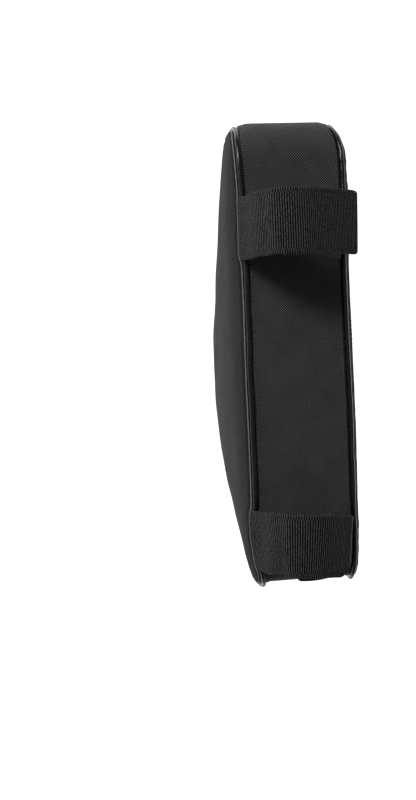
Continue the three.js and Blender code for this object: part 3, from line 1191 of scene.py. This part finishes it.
def gusset_rise(across):
    """The band's outer height above the outline: a sewn ridge near each edge, and a dip under
    the piping beyond it."""
    away = np.abs(across) - STITCH_LINE
    ridge = RIDGE * np.exp(-((away / RIDGE_HALF) ** 2))
    valley = VALLEY * np.exp(-(((away - VALLEY_AWAY) / VALLEY_HALF) ** 2))
    return ridge - valley + EDGE_RISE * smooth_step(away, EDGE_STARTS, EDGE_FULL)


def front_crown(points, across):
    """How far the filled bag pushes the band out along the top and more at the front end: a
    height that goes from TOP_CROWN to FRONT_CROWN towards the front face, times
    1 - (across / CROWN_HALF) ^ CROWN_POWER."""
    ahead = points[..., 0] + CROWN_LEAN * (BAG_TOP - points[..., 1])
    front = smooth_step(ahead, GUSSET_HIGH.y - CROWN_BEHIND, GUSSET_HIGH.y - MM)
    top = TOP_CROWN * smooth_step(points[..., 1], BAG_TOP - CROWN_DEPTH, BAG_TOP - MM)
    height = top + (FRONT_CROWN - top) * front
    return height * (1 - (np.abs(across) / CROWN_HALF) ** CROWN_POWER).clip(0)


def gusset_band():
    """The band as a closed profile carried round the outline.

    The outer face is the outline plus the ridge, the crown, slow waves and puckers beside the
    stitches. The inner face is the outline plus the crown and the slow waves, less the wall.
    """
    ring = bag_outline().ring(GUSSET_POINTS)
    across = GUSSET_HALF * (2 * crowded(GUSSET_COLUMNS, GUSSET_CROWD) - 1)
    along = ring.along[:, None]
    slow = ripple(along + 0.5 * across, WAVE_LENGTH, waves=4, seed=31)
    slow = slow * np.cos(across / GUSSET_HALF * np.pi / 2)
    near = np.exp(-(((np.abs(across) - STITCH_LINE) / GATHER_HALF) ** 2))
    gather = GATHER * ripple(along, GATHER_LENGTH, waves=5, seed=37) * near
    pushed = front_crown(ring.points[:, None], across) + WAVE * slow
    outer = gusset_rise(across) + gather + pushed
    inner = pushed[:, ::-INNER_STEP] - bpy.context.scene.bag_sizes.gusset_wall
    rise = np.concatenate([outer, inner], 1)
    wide = np.concatenate([across, across[::-INNER_STEP]])
    x = np.broadcast_to(BAG_MIDDLE + wide, rise.shape)
    return patch(
        carried(ring, x, rise),
        along=np.append(ring.along, bag_outline().length),
        across=np.append(wide, wide[0]),
        wrap=(True, True),
    )


def edge_stitches(side):
    """A row of stitches round one edge of the band, each along the outline."""
    outline = bag_outline()
    count = int(outline.length / bpy.context.scene.bag_sizes.stitch_pitch)
    ring = outline.ring(count)
    across = side * STITCH_LINE
    rise = gusset_rise(across) + front_crown(ring.points, across) + STITCH_LIFT
    places = carried(ring, np.full((count, 1), BAG_MIDDLE + across), rise[:, None])[:, 0]
    zero = np.zeros(count)
    tangent = np.stack([zero, ring.outward[:, 1], -ring.outward[:, 0]], 1)
    outward = np.stack([zero, ring.outward[:, 0], ring.outward[:, 1]], 1)
    sideways = np.cross(outward, tangent)
    frames = np.stack([tangent, sideways, outward], -1)
    return copies(capsule(STITCH_LENGTH, STITCH_RADIUS), places, frames)


# The piping

# Points round the outline and round the section, how uneven the radius is, how far the piping
# wanders, and the lengths of both waves
PIPING_POINTS, PIPING_SIDES = 1000, 16
PIPING_UNEVEN, UNEVEN_LENGTH = 0.025, 12 * MM
PIPING_WANDER, WANDER_LENGTH = 0.15 * MM, 40 * MM


class BAG_OT_piping(bpy.types.Operator):
    """Make the round piping over the two seams"""

    bl_idname = "bag.piping"
    bl_label = "Piping"

    def execute(self, context):
        material = piping_material()
        for name, sign in (("left_piping", -1), ("right_piping", 1)):
            made = make_object(f"{name}_cover", [piping_tube(sign)], material)
            dress(made, "piping", name)
        return {"FINISHED"}


def piping_tube(sign):
    """A circle carried round the outline, with its radius and its place a little uneven."""
    ring = bag_outline().ring(PIPING_POINTS)
    angle = full_turn(PIPING_SIDES)
    uneven = ripple(ring.along, UNEVEN_LENGTH, waves=5, seed=41 + sign)
    radius = PIPING_RADIUS * (1 + PIPING_UNEVEN * uneven)[:, None]
    wander = PIPING_WANDER * ripple(ring.along, WANDER_LENGTH, waves=4, seed=43 + sign)[:, None]
    x = BAG_MIDDLE + sign * PIPING_PLACE + radius * np.sin(angle) + wander
    return patch(
        carried(ring, x, PIPING_OUT + radius * np.cos(angle)),
        along=np.append(ring.along, bag_outline().length),
        across=np.append(angle, 2 * np.pi) * PIPING_RADIUS,
        wrap=(True, True),
    )


# The straps

# Points along the foot's bend, over the bar, along the tail and up an inner foot, and across
FOOT_POINTS, OVER_POINTS, TAIL_POINTS, INNER_FOOT_POINTS = 24, 90, 30, 5
STRAP_COLUMNS, STRAP_CROWD = 44, 0.35
# The step over which a strap's direction is read
TRACK_STEP = 0.4 * MM
# How far the outer foot's middle lies off the piping, as a share of the webbing's thickness, and
# how far the tail's end droops
FOOT_SHARE = 0.42
TAIL_DROOP = 0.9 * MM
# The webbing's long edges: how wide they are rounded, and their thickness as a share
EDGE_ROUND = 0.9 * MM
EDGE_SHARE = 0.35
# The ribs: rows of points for each, height and squareness
RIB_ROWS = 8
RIB_RISE = 0.34 * MM
RIB_POWER = 0.75
# The plain edges' width, and the groove beside them: its depth as a share of a rib, and half width
SELVEDGE = 2.9 * MM
SELVEDGE_GROOVE, SELVEDGE_GROOVE_HALF = 0.35, 0.35 * MM
# How far a strap's middle wanders along the bar, the length of that wave, and how far its long
# edges droop
STRAP_WANDER, STRAP_WANDER_LENGTH = 0.25 * MM, 30 * MM
STRAP_CUP = 0.35 * MM
# The ends with a painted highlight: the widths of a sealed cut and of a sewn foot, and the length
# over which the latter fades
SEALED = 1.9 * MM
SEWN = 3.4 * MM
SEWN_FADE = 0.4 * MM
# The tail's corners and rounded end, and how much the folded hem stands out below
TAIL_CORNER = 2.2 * MM
TAIL_ROUND = 0.7 * MM
HEM_FOLD = 0.55 * MM
# Where the foot starts and has its whole thickness, and its thickness at first, as a share
FOOT_STARTS, FOOT_FULL = -1 * MM, 5 * MM
FOOT_THICKNESS = 0.55


class Track(NamedTuple):
    """A strap's middle line seen from its edge: (X, Z) points and their places along it."""

    points: np.ndarray
    along: np.ndarray

    def at(self, along):
        """Points and outward directions at distances along the line, straight on past its end."""
        end = self.along[-1]
        inside = np.clip(along, 0, end)
        x, z = (np.interp(inside, self.along, self.points[:, k]) for k in (0, 1))
        low, high = (np.clip(inside + step, 0, end) for step in (-TRACK_STEP, TRACK_STEP))
        ahead = [
            np.interp(high, self.along, self.points[:, k])
            - np.interp(low, self.along, self.points[:, k])
            for k in (0, 1)
        ]
        direction = unit(np.stack(ahead, -1))
        past = (along - inside)[..., None]
        return np.stack([x, z], -1) + direction * past, direction


def arc(centre, start, end, radius, count):
    """Points of an arc about a centre, from one angle to another in degrees."""
    angle = np.radians(np.linspace(start, end, count))
    radius = np.broadcast_to(radius, angle.shape)[:, None]
    return np.array(centre) + radius * np.stack([np.cos(angle), np.sin(angle)], 1)


def strap_track(side, end_angle, tail=0.0, lifted=True):
    """A strap's line: from its foot straight to the bar, over the bar, and on in a straight tail
    that droops a little. side is -1 for an outer strap, whose foot bends round the outside of
    the left piping, and 1 for an inner one, whose foot stands inside the right piping."""
    thickness = bpy.context.scene.bag_sizes.strap_thickness
    piping = np.array([BAG_MIDDLE + side * PIPING_PLACE, BAG_TOP + PIPING_OUT])
    foot_radius = PIPING_RADIUS + thickness * FOOT_SHARE
    bar_radius = BAR_RADIUS + STRAP_GAP + thickness / 2
    if side < 0:
        toward = np.degrees(np.arctan2(-piping[1], -piping[0]))
        reach = (foot_radius - bar_radius) / np.linalg.norm(piping)
        touch = toward + np.degrees(np.arccos(reach))
        foot = arc(piping, FOOT_START, touch, foot_radius, FOOT_POINTS)
    else:
        beside = BAG_MIDDLE + PIPING_PLACE - PIPING_RADIUS - STRAP_GAP - thickness / 2
        bend = np.array([beside, BAG_TOP + STRAP_GAP + thickness])
        lean = np.degrees(np.arctan2(bend[1], bend[0]))
        touch = lean + np.degrees(np.arccos(bar_radius / np.linalg.norm(bend)))
        rise = np.linspace(-thickness, 0, INNER_FOOT_POINTS)[:, None]
        foot = bend + rise * [0, 1]
    angle = np.linspace(touch, end_angle, OVER_POINTS)
    lift = smooth_step(-angle, -LIFT_ANGLES[0], -LIFT_ANGLES[1]) if lifted else 0
    radius = bar_radius + lift * (thickness + STRAP_GAP)
    over = arc((0, 0), touch, end_angle, radius, OVER_POINTS)
    parts = [foot, over]
    if tail:
        leave = np.radians(end_angle)
        away = np.array([np.sin(leave), -np.cos(leave)])
        reach = np.linspace(0, tail, TAIL_POINTS)[1:]
        droop = -TAIL_DROOP * (reach / tail) ** 2
        parts.append(over[-1] + reach[:, None] * away + droop[:, None] * [0, 1])
    points = np.concatenate(parts)
    steps = np.linalg.norm(np.diff(points, axis=0), axis=1)
    return Track(points, np.concatenate([[0], np.cumsum(steps)]))


def strap_profile(width, thickness):
    """A flat band's closed section as (across, up): a rounded rectangle, out and back."""
    half = width / 2
    across = half * (2 * crowded(STRAP_COLUMNS, STRAP_CROWD) - 1)
    edge = np.clip((half - np.abs(across)) / EDGE_ROUND, 0, 1)
    up = thickness / 2 * (EDGE_SHARE + (1 - EDGE_SHARE) * np.sqrt(1 - (1 - edge) ** 2))
    return np.concatenate([across, across[::-1]]), np.concatenate([up, -up[::-1]])


def strap_middle(name, kind):
    """The middle of a packed strap along the bar."""
    low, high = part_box(f"{name}_strap_{kind}")
    return (low.y + high.y) / 2


def strap_band(track, middle, width, turns, hem, corner, seed):
    """A ribbed strap: its section carried along the line, and turned on the bar by turns.

    Each section's point lies at the line's distance along + across sin(turn), and at Y = middle +
    across cos(turn) less the sum of sin(turn) along the line. Ribs raise both faces by RIB_RISE
    |sin(pi along / pitch)| ^ RIB_POWER, half a pitch further on in the selvedges. The band comes
    with its edge attribute, which is 1 on the sewn foot and on a cut end, where the webbing's
    colour carries a painted highlight.
    """
    sizes = bpy.context.scene.bag_sizes
    pitch = sizes.rib_pitch
    length = track.along[-1]
    rows = int(length / pitch * RIB_ROWS)
    along = np.linspace(0, length, rows)
    across, up = strap_profile(width, sizes.strap_thickness - RIB_RISE)
    turn = np.radians(np.interp(along / length, TURNS["share"], turns))
    step = length / (rows - 1)
    shift = -np.cumsum(np.sin(turn)) * step
    corners = np.where(across < 0, corner, TAIL_CORNER)
    near_end = np.clip((along[:, None] - length + corners) / corners, 0, 1)
    narrow = corners * (1 - np.sqrt(1 - near_end**2))
    wide = across * (1 - narrow / (width / 2))
    wander = STRAP_WANDER * ripple(along, STRAP_WANDER_LENGTH, waves=4, seed=51 + seed)[:, None]
    place = along[:, None] + wide * np.sin(turn)[:, None]
    y = middle + wide * np.cos(turn)[:, None] + shift[:, None] + wander
    from_selvedge = np.abs(wide) - (width / 2 - SELVEDGE)
    phase = along[:, None] / pitch + np.where(from_selvedge > 0, 0.5, 0)
    rib = np.abs(np.sin(np.pi * phase)) ** RIB_POWER
    groove = SELVEDGE_GROOVE * np.exp(-((from_selvedge / SELVEDGE_GROOVE_HALF) ** 2))
    folded = 0.0
    if hem:
        folded = HEM_FOLD * smooth_step(along, length - hem - TAIL_ROUND, length - hem)[:, None]
    round_end = np.clip((along - length + TAIL_ROUND) / TAIL_ROUND, 0, 1)
    closed = np.sqrt(1 - round_end**2)[:, None]
    foot = smooth_step(along, FOOT_STARTS, FOOT_FULL)[:, None]
    thick = (np.abs(up) + RIB_RISE * (rib - groove)) * closed
    thick = thick * (FOOT_THICKNESS + (1 - FOOT_THICKNESS) * foot)
    rise = np.where(up > 0, thick, -thick - folded * closed)
    middle_line, direction = track.at(place)
    normal = np.stack([direction[..., 1], -direction[..., 0]], -1)
    facing = np.sign(normal[rows // 2, 0, 1])
    flat = middle_line + normal * facing * rise[..., None]
    cup = STRAP_CUP * (wide / (width / 2)) ** 2
    points = np.stack([flat[..., 0], y, flat[..., 1] - cup * foot], -1)
    ends = [points[:1].mean(1, keepdims=True), points[-1:].mean(1, keepdims=True)]
    caps = [np.broadcast_to(end, points[:1].shape) for end in ends]
    points = np.concatenate([caps[0], points, caps[1]])
    threads_along = np.concatenate([[0], along, [length, length]])
    threads_across = np.append(across, across[0])
    # Where the webbing's colour carries a painted highlight: the sealed cut and the sewn foot
    cut = smooth_step(threads_along[:-1], length - SEALED, length - SEALED / 2) * (hem == 0)
    sewn = smooth_step(-threads_along[:-1], -SEWN, SEWN_FADE - SEWN)
    edge = np.repeat(cut + sewn, points.shape[1])
    band = patch(drawn(points), along=threads_along, across=threads_across, wrap=(False, True))
    return band, edge


class BAG_OT_straps(bpy.types.Operator):
    """Make the four lengths of ribbed webbing that hold the bar"""

    bl_idname = "bag.straps"
    bl_label = "Straps"

    def execute(self, context):
        sizes = context.scene.bag_sizes
        material = webbing_material()
        for number, (name, row) in enumerate(STRAPS.items()):
            tracks = {
                "outer": strap_track(-1, row["leaves"], row["tail"]),
                "inner": strap_track(1, INNER_END, lifted=False),
            }
            for kind, track in tracks.items():
                outer = kind == "outer"
                hem = row["hem"] if outer else 0.0
                corner = row["corner"] if outer else TAIL_CORNER
                width = sizes.strap_width * (row["drawn_in"] if outer else 1.0)
                middle = strap_middle(name, kind) + row[kind]
                turns = TURNS[f"{name}_{kind}"]
                band, edge = strap_band(track, middle, width, turns, hem, corner, number)
                node_name = f"{name}_strap_{kind}"
                made = make_object(f"{node_name}_webbing", [band], material, edge=[edge])
                dress(made, "webbing", node_name)
        return {"FINISHED"}


# The zip

# The tape: thickness, how deep it lies, its points along and across, and how the first crowd
TAPE_WALL = 0.9 * MM
TAPE_DROP = 0.95 * MM
TAPE_POINTS, TAPE_COLUMNS, TAPE_CROWD = 170, 14, 0.9
# The teeth: half length, spacing, radius, how far they stand off the tape, how much they lean in
# degrees, their sides, and how far the row starts from the tape's ends, as a share of its half
TEETH_HALF = 2.7 * MM
TOOTH_PITCH = 1.2 * MM
TOOTH_RADIUS = 0.56 * MM
TOOTH_LIFT = 0.35 * MM
TOOTH_LEAN = 14
TOOTH_SIDES = 8
TEETH_START = 0.7
# The stitches in the hem: how far outside the slot they lie, length, radius and lift
HEM_STITCH_OUT = 1.6 * MM
HEM_STITCH_LENGTH, HEM_STITCH_RADIUS = 2.0 * MM, 0.26 * MM
HEM_STITCH_LIFT = 0.62 * MM
# How far the slider stands behind the zip's front end, and the width of its plates' round edges
SLIDER_BEHIND = 5.5 * MM
PLATE_EDGE = 0.55 * MM
# The slider's two plates in one, its bridge and its ring, and the pull and its raised grip: for
# each plate how far it lies off the cloth and below the zip's line, its half sizes along, down
# and through, all in millimetres, and its roundness
SLIDER_PLATES = (
    (0.55, 0.0, 5.5, 4.1, 1.15, 3.2),
    (2.2, 0.0, 3.4, 1.5, 1.0, 2.6),
    (2.3, 1.6, 1.9, 2.6, 0.5, 2.4),
)
PULL_PLATES = (
    (2.35, 13.2, 3.4, 11.6, 0.75, 3.6),
    (2.35, 17.0, 2.5, 6.6, 1.05, 3.0),
)


def zip_tape():
    """The tape: a thin band with round ends that lies in the side's groove."""
    low, high = zip_ends()
    y = low + (high - low) * crowded(TAPE_POINTS, TAPE_CROWD)
    beyond = np.maximum(np.maximum(low + ZIP_HALF - y, y - high + ZIP_HALF), 0)
    half = np.sqrt(np.maximum(ZIP_HALF**2 - beyond**2, 0))
    z = ZIP_LINE + half[:, None] * np.linspace(-1, 1, TAPE_COLUMNS)
    places = np.stack([np.broadcast_to(y[:, None], z.shape), z], -1)
    top = on_side(places, 1, -TAPE_DROP)
    under = on_side(places, 1, -TAPE_DROP - TAPE_WALL)
    points = np.concatenate([top, under[:, ::-1]], 1)
    return threads_in_plane(patch(points, wrap=(False, True)))


def slope(places, step):
    """The direction in which the right side's face runs at its places, for a step in Y and Z."""
    return unit(on_side(places + step, 1) - on_side(places - step, 1))


def teeth():
    """The closed coil: a row of short rounded bars across the tape, each turned a little."""
    low, high = zip_ends()
    start = ZIP_HALF * TEETH_START
    y = np.arange(low + start, high - start, TOOTH_PITCH)
    places = np.stack([y, np.full_like(y, ZIP_LINE)], 1)
    here = on_side(places, 1, TOOTH_LIFT - TAPE_DROP)
    forward, down = slope(places, [MM, 0]), slope(places, [0, MM])
    lean = np.radians(TOOTH_LEAN)
    bar = unit(down * np.cos(lean) + forward * np.sin(lean))
    outward = np.cross(forward, bar)
    frames = np.stack([bar, np.cross(outward, bar), outward], -1)
    return copies(capsule(2 * TEETH_HALF, TOOTH_RADIUS, TOOTH_SIDES), here, frames)


def zip_stitches():
    """Stitches round the slot, in the turned-in cloth: along its top, round its rear end, along
    its bottom and round its front end."""
    low, high = (end + side * ZIP_HALF for end, side in zip(zip_ends(), (1, -1)))
    reach = ZIP_HALF + HEM_STITCH_OUT
    straight, bend = high - low, np.pi * reach
    around = 2 * (straight + bend)
    count = int(around / bpy.context.scene.bag_sizes.stitch_pitch)
    along = (np.arange(count) + 0.5) * around / count
    edges = np.cumsum([0, straight, bend, straight, bend])
    leg = np.searchsorted(edges, along, side="right") - 1
    within = along - edges[leg]
    turned = within / reach
    level = np.zeros(count)
    angle = np.choose(leg, [level, turned, level + np.pi, turned + np.pi]) + np.pi / 2
    middle = np.choose(leg, [high - within, low + level, low + within, high + level])
    out = np.stack([np.cos(angle), np.sin(angle)], 1)
    onward = np.stack([-out[:, 1], out[:, 0]], 1)
    places = np.stack([middle, np.full(count, ZIP_LINE)], 1) + out * reach
    here = on_side(places, 1, HEM_STITCH_LIFT)
    forward, sideways = slope(places, onward * MM), slope(places, out * MM)
    frames = np.stack([forward, sideways, np.cross(forward, sideways)], -1)
    return copies(capsule(HEM_STITCH_LENGTH, HEM_STITCH_RADIUS), here, frames)


def plate(centre, half_along, half_down, half_thick, roundness, layers=7, sides=40):
    """A rounded plate facing +X: superellipses, y = |cos| ^ (2 / roundness) and z = |sin| ^
    (2 / roundness) of the half sizes, in layers at half_thick sin(tilt), each drawn in by
    PLATE_EDGE (1 - cos(tilt))."""
    angle = full_turn(sides)
    power = 2 / roundness
    cos, sin = np.cos(angle), np.sin(angle)
    y = np.sign(cos) * np.abs(cos) ** power
    z = np.sign(sin) * np.abs(sin) ** power
    tilt = np.linspace(-np.pi / 2, np.pi / 2, layers)
    shrink = PLATE_EDGE * (1 - np.cos(tilt))
    x = half_thick * np.sin(tilt)
    ring_y = y * (half_along - shrink)[:, None]
    ring_z = z * (half_down - shrink)[:, None]
    ring_x = np.broadcast_to(x[:, None], ring_y.shape)
    points = np.stack([ring_x, ring_y, ring_z], -1)
    caps = [np.broadcast_to([end, 0, 0], points[:1].shape) for end in (x[0], x[-1])]
    points = np.concatenate([caps[0], points, caps[1]]) + np.array(centre)
    return patch(points, wrap=(False, True))


def slider_plates(rows):
    """Plates at the slider's place near the zip's front end, from rows of their sizes."""
    middle = zip_ends()[1] - ZIP_HALF - SLIDER_BEHIND
    face = on_side(np.array([[middle, ZIP_LINE]]), 1)[0, 0]
    plates = []
    for *sizes, roundness in rows:
        off, below, along, down, through = (size * MM for size in sizes)
        centre = (face + off, middle, ZIP_LINE - below)
        plates.append(plate(centre, along, down, through, roundness))
    return plates


class BAG_OT_zip(bpy.types.Operator):
    """Make the closed zip in the right side: tape, teeth, slider, pull and stitches"""

    bl_idname = "bag.zip"
    bl_label = "Zip"

    def execute(self, context):
        tape = make_object("zip_tape", [zip_tape()], gusset_material())
        dress(tape, "zip", "zip")
        dress(make_object("zip_teeth", [teeth()], coil_material()), "zip")
        metal = metal_material()
        dress(make_object("zip_slider", slider_plates(SLIDER_PLATES), metal), "zip")
        dress(make_object("zip_pull", slider_plates(PULL_PLATES), metal), "zip")
        dress(make_object("zip_stitches", [zip_stitches()], thread_material()), "zip")
        return {"FINISHED"}


# The stage

# The view: where the camera stands, how far in degrees it looks to the right and forward of
# straight down and is turned about that line, and its focal length in pixels of the picture
EYE = (-0.1312, 0.0345, 0.5702)
LOOK_RIGHT = 7.824
LOOK_FORWARD = -4.105
ROLL = 2.956
FOCAL_PIXELS = 973.2
PICTURE_HEIGHT = 800
SENSOR = 36.0
CLIP_START = 0.01
# The lights: for each its place, the point it faces, and the length of its sides
LIGHTS = {
    "key": ((-0.76, 0.84, 0.84), (0, 0, -0.03), 0.4),
    "fill": ((0.3, -0.5, 1.4), (0, 0, 0), 1.2),
    "rim": ((0.85, -0.1, -0.58), (0, 0, -0.05), 0.5),
}
# The floor: half its length, its tone and how much light it gives of its own
FLOOR_HALF = 6.0
FLOOR_TONE = 0.9
FLOOR_ROUGHNESS = 0.9
FLOOR_GLOW = 0.8
WHITE = (1, 1, 1, 1)


def camera_turn():
    """The camera's axes: back along the line of sight, and up from the roll."""
    right, forward, roll = np.radians([LOOK_RIGHT, LOOK_FORWARD, ROLL])
    sight = Vector((np.tan(right), np.tan(forward), -1)).normalized()
    up_hint = Vector((np.sin(roll), np.cos(roll), 0))
    across = sight.cross(up_hint).normalized()
    up = across.cross(sight)
    return Matrix((across, up, -sight)).transposed().to_4x4()


def add_light(name, place, target, size, power):
    """A square area light that faces a target."""
    light = bpy.data.lights.new(name, "AREA")
    light.size = size
    light.energy = power
    made = bpy.data.objects.new(name, light)
    made.location = place
    made.rotation_euler = (Vector(target) - Vector(place)).to_track_quat("-Z", "Y").to_euler()
    bpy.context.collection.objects.link(made)


class BAG_OT_stage(bpy.types.Operator):
    """Make the floor, the lights, the surroundings and the camera"""

    bl_idname = "bag.stage"
    bl_label = "Stage"

    def execute(self, context):
        stage = context.scene.bag_stage
        y, x = np.meshgrid([-FLOOR_HALF, FLOOR_HALF], [-FLOOR_HALF, FLOOR_HALF], indexing="ij")
        points = np.stack([x, y, np.full_like(x, -stage.floor_drop)], -1)
        floor = make_object("floor", [patch(points)], weld=False)
        material = bpy.data.materials.new("floor")
        material.use_nodes = True
        shader = material.node_tree.nodes["Principled BSDF"]
        shader.inputs["Base Color"].default_value = (FLOOR_TONE, FLOOR_TONE, FLOOR_TONE, 1)
        shader.inputs["Roughness"].default_value = FLOOR_ROUGHNESS
        shader.inputs["Emission Color"].default_value = WHITE
        shader.inputs["Emission Strength"].default_value = FLOOR_GLOW
        floor.data.materials.append(material)
        for name, (place, target, size) in LIGHTS.items():
            add_light(name, place, target, size, getattr(stage, f"{name}_power"))
        world = bpy.data.worlds.new("surroundings")
        world.use_nodes = True
        sky = world.node_tree.nodes["Background"]
        sky.inputs["Color"].default_value = WHITE
        sky.inputs["Strength"].default_value = stage.sky
        context.scene.world = world
        context.scene.view_settings.view_transform = "Standard"
        camera = bpy.data.cameras.new("camera")
        camera.sensor_width = SENSOR
        camera.lens = FOCAL_PIXELS / PICTURE_HEIGHT * SENSOR
        camera.clip_start = CLIP_START
        made = bpy.data.objects.new("camera", camera)
        made.matrix_world = Matrix.Translation(EYE) @ camera_turn()
        context.collection.objects.link(made)
        context.scene.camera = made
        return {"FINISHED"}


class BAG_PT_panel(bpy.types.Panel):
    """The bag's sizes and colours, and a button for each group of pieces"""

    bl_idname = "BAG_PT_panel"
    bl_label = "Frame bag"
    bl_space_type = "VIEW_3D"
    bl_region_type = "UI"
    bl_category = "Frame bag"

    def draw(self, context):
        for group in (context.scene.bag_sizes, context.scene.bag_finish, context.scene.bag_stage):
            box = self.layout.box()
            for name in group.bl_rna.properties.keys():
                if name not in ("rna_type", "name"):
                    box.prop(group, name)
        for operator in OPERATORS:
            self.layout.operator(operator.bl_idname)


OPERATORS = (BAG_OT_sides, BAG_OT_gusset, BAG_OT_piping, BAG_OT_straps, BAG_OT_zip, BAG_OT_stage)
GROUPS = {"bag_sizes": BagSizes, "bag_finish": BagFinish, "bag_stage": BagStage}


def register():
    for made in (*GROUPS.values(), *OPERATORS, BAG_PT_panel):
        bpy.utils.register_class(made)
    for name, group in GROUPS.items():
        setattr(bpy.types.Scene, name, PointerProperty(type=group))


def unregister():
    for name in GROUPS:
        delattr(bpy.types.Scene, name)
    for made in (BAG_PT_panel, *reversed(OPERATORS), *reversed(GROUPS.values())):
        bpy.utils.unregister_class(made)


def main():
    register()
    bpy.ops.bag.stage()
    bpy.ops.bag.sides()
    bpy.ops.bag.gusset()
    bpy.ops.bag.piping()
    bpy.ops.bag.straps()
    bpy.ops.bag.zip()


if __name__ == "__main__":
    main()
